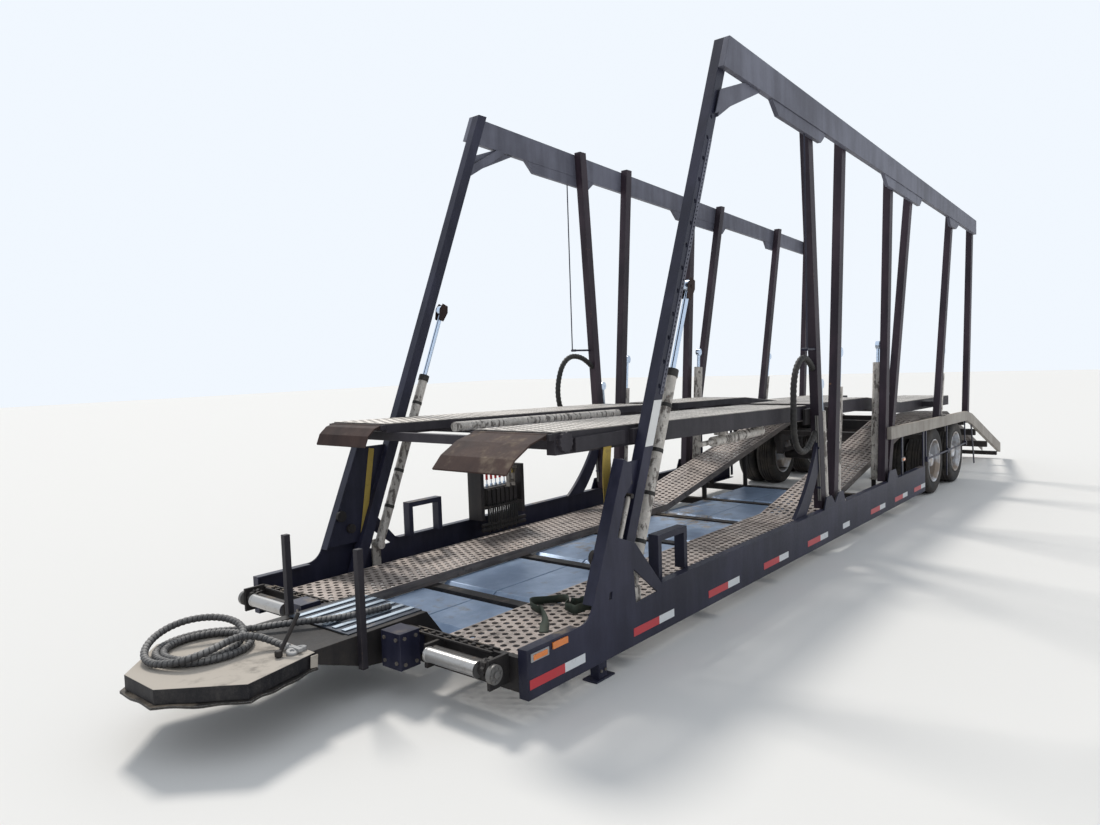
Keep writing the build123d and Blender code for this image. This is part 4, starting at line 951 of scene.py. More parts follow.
# %% Bend the sheet along a track
HOLE_STEP = 0.072
ROW_STEP = 0.063
HOLE_R = 0.0205


def stretch(line, start, end):
    """The points of a side-view line between two stations, its two ends read off the line."""
    line = np.asarray(line, float)
    inside = line[(line[:, 0] > start) & (line[:, 0] < end)]
    ends = [[s, np.interp(s, *line.T)] for s in (start, end)]
    return np.concatenate([ends[:1], inside, ends[1:]])


def track(line, start, end, y0, y1, thick):
    """Punched plate from one station to another along a side-view line, between two widths."""
    path = stretch(line, start, end)
    reach = travelled(path)
    columns = max(2, round(reach[-1] / HOLE_STEP))
    rows = max(3, round((y1 - y0) / ROW_STEP))
    step, row = reach[-1] / columns, (y1 - y0) / rows

    def shape(u, v, level):
        s, z = (np.interp(u * step / 2, reach, path[:, i]) for i in (0, 1))
        return at(s, y0 + v * row, z - level * thick)

    return punched_plate(columns, rows, 2 * HOLE_R / step, HOLE_R / row, shape)


def strip(rings):
    """Closed bar through four-cornered rings, given as points (n, 4, 3)."""
    last = 4 * (len(rings) - 1) + np.arange(4)
    return rings.reshape(-1, 3), [grid_faces(len(rings), 4), np.array([[3, 2, 1, 0]]), last[None]]


def hems(line, start, end, y0, y1, drop, thick):
    """Two bars under the edges of a track, bent with its line, that start a plate's thickness down."""
    s, z = stretch(line, start, end).T
    parts = []
    for a, b in ((y0, y0 + thick), (y1 - thick, y1)):
        corners = [at(s, a, z - thick), at(s, b, z - thick), at(s, b, z - drop), at(s, a, z - drop)]
        parts.append(strip(np.stack(corners, axis=1)))
    return joined(*parts)


print("holes along and across a metre of track:", round(1 / HOLE_STEP, 1), round(1 / ROW_STEP, 1))

# %% [markdown]
# There are four pairs: the level lower tracks, the ones that rise over the axles and fall to the
# tail, and the plates of the two upper decks. Each pair could be modelled on its own, but all four
# are the same sheet along another line. The plates of the upper decks ride with their decks.

# %% The four pairs of tracks
LOWER_LINE = [(1.400, 0.268), (5.700, 0.268), (9.050, 0.936), (10.800, 0.936), (13.110, 0.190)]
DECK_PLATE_UP = 0.0063
FRONT_DECK_LINE = [(1.500, 1.43948 + DECK_PLATE_UP), (5.500, 1.35148 + DECK_PLATE_UP)]
REAR_DECK_LINE = [
    (s, z + DECK_PLATE_UP) for s, z in ((5.780, 1.345), (7.370, 1.316), (8.600, 1.190), (10.900, 1.150))
]
RUNWAY_PLATE, DECK_PLATE, HEM_DROP = 0.008, 0.006, 0.070
LOWER_Y, RISING_Y = (0.530, 1.140), (0.530, 1.036)
FRONT_DECK_Y, REAR_DECK_Y = (0.519, 1.131), (0.414, 1.026)


def runway(start, end, widths):
    """A pair of lower tracks: punched plates with their hems."""
    ends = (LOWER_LINE, start, end, *widths)
    return both(joined(track(*ends, RUNWAY_PLATE), hems(*ends, HEM_DROP, RUNWAY_PLATE)))


def deck_track(line, start, end, widths):
    """One plate of an upper deck."""
    return track(line, start, end, *widths, DECK_PLATE)


left = deck_track(FRONT_DECK_LINE, 1.830, 5.400, FRONT_DECK_Y)
right = mirrored(deck_track(FRONT_DECK_LINE, 1.990, 5.400, FRONT_DECK_Y))
for name, part, finish, body, node in (
    ("lower_tracks", runway(1.400, 5.700, LOWER_Y), TRACK, "trailer_frame", "front_runways"),
    ("rising_tracks", runway(5.7003, 13.110, RISING_Y), TRACK, "trailer_frame", "rear_runways"),
    ("front_upper_tracks", joined(left, right), UPPER_TRACK, "front_deck", "front_deck_tracks"),
    (
        "rear_upper_tracks", both(deck_track(REAR_DECK_LINE, 5.780, 10.900, REAR_DECK_Y)), UPPER_TRACK,
        "rear_deck", "rear_deck_tracks",
    ),
):
    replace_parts(piece(name, part, finish, "deck_plate", body), node)

# %% [markdown]
# ## Tyres
# A trailer tyre has straight ribs, small notches in its shoulders and thin rings on its walls. A
# tread could be cut into a torus, but its edges would turn rough. So the section is drawn once as
# radius over width and carried round the axle, and the notches lower the radius of the shoulder
# points at every fourth step of the turn.

# %% Tyre section carried round
AXLES = {"front": 9.240, "rear": 10.330}
WHEELS = [(place, side, station) for place, station in AXLES.items() for side in ("left", "right")]
AXLE_Z = 0.419
OUTER_TYRE_Y = 1.016
INNER_TYRE_Y = 0.741
TYRE_WIDE = 0.240
TYRE_STEPS = 192
NOTCH_DEEP, NOTCH_EVERY = 0.007, 4
SHOULDER_R, SHOULDER_WIDE = 0.405, 0.050
# Radius and width, from the bead out over the wall to the shoulder.
TYRE_WALL = [
    (0.262, 0.020), (0.268, 0.013), (0.276, 0.0095), (0.284, 0.0110), (0.300, 0.0040), (0.332, 0.0008),
    (0.350, 0.0006), (0.353, 0.0000), (0.362, 0.0006), (0.380, 0.0040), (0.398, 0.0110), (0.4100, 0.0210),
    (0.4150, 0.0330), (0.4170, 0.0460),
]
GROOVES = (0.070, 0.104)
GROOVE_SHAPE = [(0.4185, -0.0075), (0.4060, -0.0050), (0.4060, 0.0050), (0.4188, 0.0075)]


def carried_round(radii, widths, station):
    """Closed ring about an axle: a row of radii for every step of the turn, a width for each column."""
    turn = 2 * np.pi * np.arange(len(radii))[:, None] / len(radii)
    s, z = station + radii * np.cos(turn), AXLE_Z + radii * np.sin(turn)
    return at(s, widths, z).reshape(-1, 3), [grid_faces(*radii.shape, wrap_rows=True)]


def tyre(station, y_in):
    """Tread and walls: the section's radius, minus the notch depth on its shoulders."""
    half = TYRE_WALL + [(r, groove + w) for groove in GROOVES for r, w in GROOVE_SHAPE]
    r, w = np.array(half + [(r, TYRE_WIDE - w) for r, w in reversed(half)]).T
    shoulder = (r > SHOULDER_R) & ((w < SHOULDER_WIDE) | (w > TYRE_WIDE - SHOULDER_WIDE))
    radii = np.tile(r, (TYRE_STEPS, 1))
    radii[::NOTCH_EVERY, shoulder] -= NOTCH_DEEP
    points, faces = carried_round(radii, y_in + w, station)
    return points, flipped(faces)


def on_side(part, side):
    """The part as it is for the left side, or its mirror image for the right side."""
    return part if side == "left" else mirrored(part)


for place, side, station in WHEELS:
    pair = joined(tyre(station, OUTER_TYRE_Y), tyre(station, INNER_TYRE_Y))
    tyres = piece(
        f"tread_tyres_{place}_{side}", on_side(pair, side), TYRE, "tyre_rubber", f"wheel_{place}_{side}",
        smooth=True,
    )
    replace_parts(tyres, f"tyres_{place}_{side}")

# %% [markdown]
# ## Wheels
# Twin steel wheels: each rim is a rolled barrel with a dished disc and ten hand holes, and both are
# clamped on one hub by ten nuts. Each barrel could be a lathe profile with the disc cut out by
# booleans. The disc uses the same sheet of cells as the tracks instead, wrapped into a ring: half
# steps become angle, rows become radius, and the holes stay clean.

# %% Rims and their discs
HAND_HOLES = 10
HAND_HOLE_U, HAND_HOLE_V = 0.46, 0.30
DISC_IN, DISC_WIDE, DISC_THICK = 0.150, 0.090, 0.010
# Width of each disc at its hub and at its rim.
OUTER_DISC_Y, INNER_DISC_Y = (1.079, 1.104), (0.921, 0.896)
RIM_STEPS = 72
# Radius and width across the rolled barrel of a rim.
BARREL_SECTION = [
    (0.2615, 0.016), (0.2700, 0.009), (0.2700, 0.003), (0.2600, 0.002), (0.2520, 0.009), (0.2490, 0.022),
    (0.2400, 0.050), (0.2385, 0.120), (0.2400, 0.190), (0.2490, 0.218), (0.2520, 0.231), (0.2600, 0.238),
    (0.2700, 0.237), (0.2700, 0.231), (0.2615, 0.224),
]


def rim_barrel(station, y_in):
    """The rolled barrel carried round the axle."""
    r, w = np.array(BARREL_SECTION).T
    return carried_round(np.tile(r, (RIM_STEPS, 1)), y_in + w, station)


def disc(station, y_hub, y_rim):
    """Dished disc with ten hand holes: width goes from the hub's to the rim's as the square of v."""
    def shape(u, v, level):
        turn = np.pi * u / HAND_HOLES
        r = DISC_IN + DISC_WIDE * v
        y = y_hub + (y_rim - y_hub) * v ** 2 - level * DISC_THICK
        return at(station + r * np.cos(turn), y, AXLE_Z + r * np.sin(turn))

    return punched_plate(HAND_HOLES, 1, HAND_HOLE_U, HAND_HOLE_V, shape)


print("hand holes on each disc:", HAND_HOLES)

# %% [markdown]
# The hub stands out through the outer disc and ends in a cap with six bolts. It could be a stack of
# cylinders, but each step would leave two faces inside. One turned profile runs from the brake drum
# to the cap instead, and the nuts, studs and cap bolts are rows of short bars round it.

# %% Hub, nuts and the whole wheel
# Width from the trailer's middle and radius: drum, spacer, hub flange and cap.
HUB = [
    (0.701, 0.185), (0.706, 0.199), (0.795, 0.199), (0.800, 0.185), (0.801, 0.112), (0.904, 0.112),
    (0.905, 0.156), (0.921, 0.156), (0.922, 0.112), (1.056, 0.112), (1.058, 0.156), (1.076, 0.156),
    (1.080, 0.152), (1.082, 0.120), (1.110, 0.112), (1.146, 0.110), (1.156, 0.101), (1.158, 0.085),
    (1.210, 0.078), (1.221, 0.072), (1.226, 0.055),
]
# Name: how many, first turn in steps, circle's radius, from and to width, bar's radius, sides.
FASTENERS = {
    "nuts": (10, 0.5, 0.136, 1.081, 1.106, 0.0185, 6), "studs": (10, 0.5, 0.136, 1.100, 1.120, 0.0105, 8),
    "cap bolts": (6, 0.0, 0.093, 1.155, 1.166, 0.009, 6),
}


def wheel(station):
    """Both rims of a twin wheel with its hub, drum, nuts, studs and cap bolts, left side."""
    parts = [rim_barrel(station, OUTER_TYRE_Y), rim_barrel(station, INNER_TYRE_Y)]
    parts += [disc(station, *OUTER_DISC_Y), disc(station, *INNER_DISC_Y)]
    parts.append(turned(HUB, at(station, 0.0, AXLE_Z), (0, 1, 0), around=48))
    for many, first, circle, y0, y1, radius, sides in FASTENERS.values():
        turn = 2 * np.pi * (np.arange(many) + first) / many
        s, z = station + circle * np.cos(turn), AXLE_Z + circle * np.sin(turn)
        parts.append(bars(at(s, y0, z), at(s, y1, z), radius, sides))
    return joined(*parts)


for place, side, station in WHEELS:
    rims = piece(
        f"twin_rims_{place}_{side}", on_side(wheel(station), side), WHEEL, "rim_steel",
        f"wheel_{place}_{side}", bevel=0.0015,
    )
    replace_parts(rims, f"rims_{place}_{side}")

# %% [markdown]
# ## The nose plate
# The coupler head is a deep box under a thick lip. On the real one the top is slightly dented and
# the lip has been bent into waves by years of rubbing on the tractor. A sculpted mesh could do that,
# but nobody could say how deep its dents are. So both are sheets over width and station: u runs
# across from -1 to 1, the half-width comes from the outline, and dents or waves add to the height.

# %% Head and lip
# Each outline: stations, and the half-width at each of them.
HEAD_OUTLINE = ([0.022, 0.320, 0.7499], [0.1572, 0.470, 0.372])
LIP_OUTLINE = ([0.000, 0.320, 0.7499], [0.166, 0.492, 0.394])
HEAD_TOP, HEAD_DEEP = 0.369, 0.0745
LIP_TOP, LIP_DEEP = 0.294, 0.012
# Station, width, depth and reach of each hollow.
HOLLOWS = [(0.20, 0.12, 0.004, 0.09), (0.52, 0.24, 0.005, 0.11), (0.44, -0.25, 0.004, 0.12)]


def plate(outline, top, thick, rise, rows=60, across=40):
    """Closed plate: y = u * half-width(s), z = top + rise(s, y, u)."""
    s = np.unique(np.r_[np.linspace(outline[0][0], outline[0][-1], rows), outline[0][1]])[:, None]
    u = np.linspace(-1, 1, across)[None, :]
    y = u * np.interp(s, *outline)
    upper = at(s, y, top + rise(s, y, u)).reshape(-1, 3)
    count = len(upper)
    index = np.arange(count).reshape(len(s), across)
    border = np.concatenate([index[0], index[1:, -1], index[-1, -2::-1], index[-2:0:-1, 0]])
    after = np.roll(border, -1)
    sheet = grid_faces(len(s), across, wrap_columns=False)
    wall = np.stack([border, border + count, after + count, after], axis=1)
    return np.concatenate([upper, upper - (0, 0, thick)]), [sheet, sheet[:, ::-1] + count, wall]


def dents(s, y, u):
    """Shallow dents: a few wide hollows, each a Gaussian."""
    return -sum(
        deep * np.exp(-((s - ds) ** 2 + (y - dy) ** 2) / reach ** 2) for ds, dy, deep, reach in HOLLOWS
    )


def waves(s, y, u):
    """Bent lip: two sines along the edge that fade inwards as the sixth power of u."""
    out = np.maximum(np.abs(u) ** 6, np.clip(1 - s / 0.06, 0, 1))
    return out * (0.0035 * np.sin(17 * s + 2 * u) + 0.003 * np.sin(41 * s + 5 * u) - 0.002)


nose_box = piece("nose_box", plate(HEAD_OUTLINE, HEAD_TOP, HEAD_DEEP, dents), NOSE, "nose_paint", bevel=0.003)
piece("nose_lip", plate(LIP_OUTLINE, LIP_TOP, LIP_DEEP, waves), LIP, "nose_paint")
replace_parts(nose_box, "nose_head")

# %% [markdown]
# A short lever stands in a hook at the back of the nose and leans on the hose. It could be a cylinder
# turned in the viewport, but a bar between two points leaves no angle to measure.

# %% The lever that leans on the hose
LEVER_FOOT, LEVER_HEAD, LEVER_R = (0.600, 0.275, 0.378), (0.735, 0.262, 0.560), 0.011
HOOK_AT = (0.600, 0.275, 0.370)
HOOK = [(0, 0.016), (0.004, 0.020), (0.030, 0.020), (0.034, 0.014)]
lever = joined(bars(at(*LEVER_FOOT), at(*LEVER_HEAD), LEVER_R), turned(HOOK, at(*HOOK_AT), (0, 0, 1)))
piece("leaning_lever", lever, FRAME_DARK, "dark_frame", bevel=0.001)

# %% [markdown]
# ## Tapes and lamps on the sills
# Retroreflective tape runs along both sills in red and white lengths, and two lamps near the front
# are amber. The tape could be a stripe in the sill's paint, but the sill has one finish from end to
# end, so each length is a thin strip that stands out from the web by about a millimetre.

# %% Tape strips
TAPE_LOW, TAPE_HIGH, TAPE_THICK = 0.173, 0.223, 0.0012
RED_LONG, WHITE_LONG = 0.285, 0.178
red_starts = np.array([1.374, 2.318, 3.239, 4.119, 4.990, 6.636, 7.440, 8.170])
white_starts = np.r_[red_starts + RED_LONG, 5.836]
for name, starts, long, finish, slot in (
    ("red_tape", red_starts, RED_LONG, TAPE_RED, "red_lens"),
    ("white_tape", white_starts, WHITE_LONG, TAPE_WHITE, "barrel_paint"),
):
    strips = slabs(starts, starts + long, HALF_WIDTH, HALF_WIDTH + TAPE_THICK, TAPE_LOW, TAPE_HIGH)
    piece(name, both(strips), finish, slot)

# %% [markdown]
# The lamps are flat boxes of amber plastic, most of them on grey housings, and the tail carries the
# same tape as the sills. A lens could be let into a hole in its housing, but a second box that
# stands out from the first looks the same and keeps both closed.

# %% Amber lamps, their housings and the rear tape
# Each row: from and to station, width and height.
HOUSINGS = [
    (1.386, 1.528, HALF_WIDTH, HALF_WIDTH + 0.006, 0.312, 0.356),
    (7.760, 7.860, 1.2745, 1.284, 0.580, 0.622),
]
LENSES = [
    (1.402, 1.512, HALF_WIDTH + 0.005, HALF_WIDTH + 0.0098, 0.320, 0.348),
    (1.558, 1.684, HALF_WIDTH, HALF_WIDTH + 0.0096, 0.330, 0.366),
    (7.772, 7.848, 1.2835, 1.293, 0.587, 0.615),
]
piece("lamp_housings", both(slabs(*np.transpose(HOUSINGS))), GREY_HOUSING, "barrel_paint", bevel=0.0015)
piece("amber_lamps", both(slabs(*np.transpose(LENSES))), AMBER, "red_lens", bevel=0.002)
REAR_TAPE_S, REAR_TAPE_Z, REAR_TAPE_LONG = (13.1053, 13.1065), (0.075, 0.115), 0.075
rear = 2 * REAR_TAPE_LONG * np.arange(-3, 4)
for name, y, finish, slot in (
    ("rear_red_tape", rear - REAR_TAPE_LONG, TAPE_RED, "red_lens"),
    ("rear_white_tape", rear, TAPE_WHITE, "barrel_paint"),
):
    piece(name, slabs(*REAR_TAPE_S, y, y + REAR_TAPE_LONG, *REAR_TAPE_Z), finish, slot)

# %% [markdown]
# ## Small work on the raked posts
# The boxed root of each post is closed on the inside and carries a slim pale tube, three knobs and
# two round bosses. Boxes turned by hand would drift off the slope, so the slope is written once, as
# a line of station over height, and everything that follows the post asks it.

# %% Root plates, tubes, knobs and bosses
POST_OUT = 1.250
POST_SLOPE = 0.417
ROOT_LOW, ROOT_HIGH = 0.47, 1.21
ROOT_PLATE_Y = (1.221, 1.227)
TUBE_Y = 1.262


def post_front(z):
    """Station of the raked post's front face."""
    return 2.199 + POST_SLOPE * (z - 0.424)


def root_front(z):
    """Station of the boxed root's front edge."""
    return 1.925 + 0.4338 * (z - 0.460)


root_plate = prism([
    (root_front(ROOT_LOW) + 0.012, ROOT_LOW), (root_front(ROOT_HIGH) + 0.012, ROOT_HIGH),
    (post_front(ROOT_HIGH) - 0.002, ROOT_HIGH), (post_front(ROOT_LOW) - 0.002, ROOT_LOW),
], *ROOT_PLATE_Y)
root_tube = bars(at(2.236, TUBE_Y, 0.745), at(2.352, TUBE_Y, 1.010), 0.014, 16)
knob_at = at([2.356, 2.364, 2.240], TUBE_Y, [1.096, 1.012, 0.760])
knobs = bars(knob_at - (0, 0.036, 0), knob_at + (0, 0.020, 0), [0.014, 0.016, 0.019], 10)
boss_at = at([2.064, 2.150], ROOT_PLATE_Y[0], [0.696, 0.587])
bosses = bars(boss_at + (0, 0.002, 0), boss_at - (0, 0.026, 0), [0.042, 0.036], 24)
piece("root_plates", both(root_plate), BLACK, "black_paint")
piece("root_tubes", both(root_tube), BARREL, "barrel_paint")
piece("root_knobs", both(joined(knobs, bosses)), FRAME_DARK, "dark_frame", bevel=0.002)

# %% [markdown]
# The left post also has a white tag. A rectangle turned to the slope would need its angle worked
# out, so the tag is a thin prism whose long edges follow the post's front face.

# %% Bare tag
TAG_LOW, TAG_HIGH = 1.285, 1.565
TAG_FROM, TAG_TO = 0.004, 0.094
TAG_CORNERS = ((TAG_LOW, TAG_FROM), (TAG_LOW, TAG_TO), (TAG_HIGH, TAG_TO), (TAG_HIGH, TAG_FROM))
tag = prism([(post_front(z) + behind, z) for z, behind in TAG_CORNERS], POST_OUT + 0.0003, POST_OUT + 0.0018)
piece("bare_tag", tag, TAG_WHITE, "barrel_paint")

# %% [markdown]
# A strip of close lock holes runs down the rear edge of each raked post, and a plate stiffens its
# knee. Sixty-two boolean cuts would leave long thin faces. The strip is the tracks' sheet once more,
# one row wide, climbing the post's slope, and the knee plate is a flat prism of four corners.

# %% Lock strips and knee plates
LOCK_LOW, LOCK_STEP, LOCK_HOLES = 1.600, 0.0277, 62
LOCK_BEHIND, LOCK_WIDE, LOCK_THICK = 0.056, 0.041, 0.0035
LOCK_HOLE_WIDE, LOCK_HOLE_HIGH = 0.0079, 0.0073
KNEE = [(3.610, 3.680), (3.990, 3.818), (4.250, 3.805), (3.530, 3.497)]
KNEE_Y = (1.2645, 1.2715)


def lock_shape(u, v, level):
    """Strip down the rear edge of the post's outer face: u climbs half a step, v crosses the strip."""
    z = LOCK_LOW + u * LOCK_STEP / 2
    return at(post_front(z) + LOCK_BEHIND + LOCK_WIDE * v, POST_OUT + 0.0003 + LOCK_THICK * (1 - level), z)


lock = punched_plate(LOCK_HOLES, 1, 2 * LOCK_HOLE_HIGH / LOCK_STEP, LOCK_HOLE_WIDE / LOCK_WIDE, lock_shape, 8)
piece("lock_strips", both(lock), RAIL, "black_paint")
piece("knee_plates", both(prism(KNEE, *KNEE_Y)), RAIL, "black_paint", bevel=0.002)

# %% [markdown]
# The lifting rod beside each raked post ends in a clevis: two cheeks and a pin. A bracket from a
# library would need fitting, so the cheeks' six corners are written along the rod and across it, and
# the whole moves with the rods.

# %% Clevises at the heads of the raked rods
BESIDE_POST = 0.220
ROD_HEAD = np.array([post_front(2.300) + BESIDE_POST, 2.300])
ROD_WAY = np.array([0.385, 0.923])
ROD_ACROSS = np.array([0.923, -0.385])
# Distance along the rod and across it.
CHEEK = [(-0.090, -0.026), (-0.090, 0.026), (0.0, 0.048), (0.055, 0.030), (0.055, -0.030), (0.0, -0.048)]
cheek = [ROD_HEAD + a * ROD_WAY + b * ROD_ACROSS for a, b in CHEEK]
pin = bars(at(ROD_HEAD[0], 1.180, ROD_HEAD[1]), at(ROD_HEAD[0], 1.2445, ROD_HEAD[1]), 0.013, 14)
clevis = joined(prism(cheek, 1.1845, 1.1905), prism(cheek, 1.2335, 1.2395), pin)
piece("rod_clevises", both(clevis), RUSTY, "rusty_plate", "raked_post_rods", bevel=0.0015)

# %% [markdown]
# Black ties hold the pale barrel beside each raked post, and a wider gland closes its mouth. Rings
# could be bent from a curve, but a short bar a little wider than the barrel looks the same.

# %% Ties and glands
TIE_Y, TIE_HALF, TIE_R, GLAND_R = 1.212, 0.012, 0.0405, 0.043
TIE_HEIGHTS = np.array([0.70, 0.98, 1.24, 1.52])
MOUTH_Z = 1.722
tie_s, mouth_s = post_front(TIE_HEIGHTS) + BESIDE_POST, post_front(MOUTH_Z) + BESIDE_POST
lean = POST_SLOPE * TIE_HALF
tie_from = at(tie_s - lean, TIE_Y, TIE_HEIGHTS - TIE_HALF)
tie_to = at(tie_s + lean, TIE_Y, TIE_HEIGHTS + TIE_HALF)
ties = bars(tie_from, tie_to, TIE_R, 24)
gland_from = at(mouth_s - 0.008, TIE_Y, MOUTH_Z - 0.020)
gland_to = at(mouth_s + 0.012, TIE_Y, MOUTH_Z + 0.028)
gland = bars(gland_from, gland_to, GLAND_R, 24)
piece("barrel_ties", both(joined(ties, gland)), TIE, "hose_rubber", bevel=0.002)

# %% [markdown]
# ## Valve bank
# Each spool of the valve has a lever with a red grip and a pair of black lines that drop to the
# sill. One spool could be copied seven times, but bars take whole rows of places, so the seven
# stations make every stem, grip and line at once. The levers replace the plain rods of the packed
# model.

# %% Levers, grips, spools and lines
SPOOLS, SPOOL_STEP = 7, 0.058
LEVER_Y = -1.178
VALVE_TOP = 0.7003
FEED_PIPE_Z = [0.330, 0.372]
lever_s = 3.580 + SPOOL_STEP * np.arange(SPOOLS)


def upright(y, low, high, radius, around):
    """A round bar for each spool, upright on the levers' stations."""
    return bars(at(lever_s, y, low), at(lever_s, y, high), radius, around)


stems = joined(upright(LEVER_Y, VALVE_TOP, 0.800, 0.0055, 10), upright(LEVER_Y, VALVE_TOP, 0.728, 0.014, 12))
grips = piece("lever_grips", upright(LEVER_Y, 0.768, 0.850, 0.0115, 14), RED_GRIP, "lever_red", bevel=0.003)
spools = slabs(lever_s - 0.022, lever_s + 0.022, -1.112, -1.090, 0.560, 0.690)
feed_pipes = bars(at(3.480, -1.100, FEED_PIPE_Z), at(4.060, -1.100, FEED_PIPE_Z), 0.016, 14)
lines = joined(
    bars(at(lever_s - 0.012, -1.098, 0.300), at(lever_s - 0.012, -1.098, 0.560), 0.0105, 12),
    bars(at(lever_s + 0.014, -1.088, 0.320), at(lever_s + 0.014, -1.098, 0.560), 0.0085, 12),
)
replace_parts(grips, "valve_levers")
piece("lever_stems", stems, SKY_TINTED_CHROME, "chrome_rod")
piece("valve_spools", joined(spools, feed_pipes), FRAME_DARK, "dark_frame", bevel=0.003)
piece("valve_lines", lines, TIE, "hose_rubber")

# %% [markdown]
# ## Belly trays
# Between the cross bars the belly is closed by shallow trays with folded ends. They could be boxes
# with two edges pulled in, but a side view says it in four corners. Each tray is a prism of that low
# trapezium, and it lies on the flat sheet of the packed model.

# %% Trays on the belly sheets
CROSS_AT = 2.330 + 1.050 * np.arange(6)
TRAY_LOW, TRAY_HIGH, TRAY_FOLD = 0.1663, 0.2015, 0.06
tray_start, tray_end = np.r_[1.735, CROSS_AT[:-1] + 0.105], CROSS_AT - 0.015
trays = [
    prism([(a, TRAY_LOW), (a + TRAY_FOLD, TRAY_HIGH), (b - TRAY_FOLD, TRAY_HIGH), (b, TRAY_LOW)], y0, y1)
    for a, b in zip(tray_start, tray_end) for y0, y1 in ((-0.515, -0.004), (0.004, 0.515))
]
piece("belly_trays", joined(*trays), SKY_TINTED_SHEET, "sheet_steel", bevel=0.004)

# %% [markdown]
# ## Straps
# Three yellow straps hang about the front, two of them with a ratchet, and a loose green one lies on
# the lower track. Cloth simulation would crumple them, but webbing is stiff across its width. So
# each is a flat ribbon: rectangles carried along a curve, with the width's direction given at every
# point.

# %% A ribbon along a curve
def ribbon(line, across, wide, thick):
    """Closed strip of rectangles: corners at line +- across * wide / 2 +- face * thick / 2."""
    ahead = unit(np.gradient(line, axis=0))
    across = np.broadcast_to(across, line.shape)
    across = unit(across - ahead * np.sum(across * ahead, axis=1, keepdims=True))
    w, t = across * wide / 2, np.cross(ahead, across) * thick / 2
    return strip(np.stack([line - w - t, line + w - t, line + w + t, line - w + t], axis=1))


def ratchet(place, ahead, across, size):
    """Two side plates, a spool and a handle of a strap ratchet, laid along a direction."""
    ahead, across = unit(np.array(ahead, float)), unit(np.array(across, float))
    up = np.cross(across, ahead)
    spool = place + 0.030 * size * ahead
    grip = place + size * (0.022 * up - 0.075 * ahead)
    sides = [
        ribbon(np.array([place + size * (0.030 * side * across + run * ahead) for run in (-0.07, 0.07)]),
               up, 0.034 * size, 0.004)
        for side in (-1, 1)
    ]
    rounds = [
        bars(middle - half * size * across, middle + half * size * across, radius * size, around)
        for middle, half, radius, around in ((spool, 0.036, 0.013, 12), (grip, 0.040, 0.010, 10))
    ]
    arm = np.stack([grip, spool + 0.012 * size * up])
    arms = [ribbon(arm + 0.022 * side * size * across, up, 0.020 * size, 0.003) for side in (-1, 1)]
    return joined(*sides, *rounds, *arms)


print("a ratchet's points:", len(ratchet(np.zeros(3), (1, 0, 0), (0, 1, 0), 1.0)[0]))

# %% Yellow straps on the far root and under the near deck
FORWARD = (1, 0, 0)
run = np.linspace(0, 1, 24)[:, None]
far_line = at(2.388, -1.2192, 1.190) * (1 - run) + at(2.266, -1.2192, 0.500) * run
near_drop, short_drop = np.linspace(0, 0.3568, 24), np.linspace(0, 0.150, 12)
near_line = at(2.310 - 0.03 * near_drop, 1.1475 - 0.010 * np.sin(9 * near_drop), 1.3118 - near_drop)
short_line = at(2.030 - 0.006 * np.sin(25 * short_drop), 0.6052, 1.300 - short_drop)
far = piece("far_yellow_strap", ribbon(far_line, FORWARD, 0.052, 0.003), STRAP_YELLOW, "hose_rubber")
near = piece(
    "deck_yellow_strap", ribbon(near_line, FORWARD, 0.078, 0.004), STRAP_YELLOW, "hose_rubber", "front_deck"
)
short = piece(
    "short_yellow_strap", ribbon(short_line, FORWARD, 0.045, 0.003), STRAP_YELLOW, "hose_rubber", "front_deck"
)
root_way = at(2.266, 0, 0.500) - at(2.300, 0, 0.690)
far_ratchet = ratchet(at(2.255, -1.196, 0.468), root_way, (1, 0, 0.2), 0.62)
deck_ratchet = ratchet(at(2.034, 0.6052, 1.128), (0, 0, -1), FORWARD, 0.8)
far_buckle = piece("far_ratchet", far_ratchet, BOLT, "dark_frame")
deck_buckle = piece("deck_ratchet", deck_ratchet, BOLT, "dark_frame", "front_deck")

# %% [markdown]
# The green strap's tail lies flat on the track, then the webbing turns on edge, opens into a cup and
# ends in a small curl. It could be drawn as one freehand curve, but three formulas that meet end to
# end keep the bends as even as stiff webbing makes them.

# %% Green strap left on the lower track
GREEN_WIDE, GREEN_THICK = 0.054, 0.004
TAIL_POINTS, BEND_POINTS = 26, 44
FLAT_ACROSS, EDGE_ACROSS = np.array([-0.61, 0.79, 0]), np.array([0.1, 0.1, 1])
cup_turn, curl_turn = (np.radians(np.linspace(a, b, BEND_POINTS)) for a, b in ((-200, 85), (196, -110)))
swell = np.linspace(0.115, 0.150, BEND_POINTS)
along = np.linspace(0, 1, TAIL_POINTS)
tail = at(1.860 + 0.247 * along, 0.980 - 0.190 * along - 0.037 * along ** 4, 0.2712 + 0.032 * along ** 3)
cup = at(
    2.215 + swell * np.cos(cup_turn), 0.720 + 0.85 * swell * np.sin(cup_turn),
    0.303 + 0.012 * np.sin(2 * cup_turn),
)
curl = at(
    2.330 + 0.092 * np.cos(curl_turn), 0.905 + 0.075 * np.sin(curl_turn),
    0.303 + 0.010 * np.cos(3 * curl_turn),
)
stand = np.clip((along - 0.35) / 0.65, 0, 1)[:, None]
green_line = np.concatenate([tail, cup[1:], curl])
green_across = np.concatenate([
    (1 - stand) * FLAT_ACROSS + stand * EDGE_ACROSS,
    np.tile([0.25, 0.1, 1.0], (BEND_POINTS - 1, 1)), np.tile([-0.15, 0.15, 1.0], (BEND_POINTS, 1)),
])
green_long = float(travelled(green_line)[-1])
green = piece(
    "green_strap", ribbon(green_line, green_across, GREEN_WIDE, GREEN_THICK), STRAP_GREEN, "hose_rubber",
    smooth=True,
)
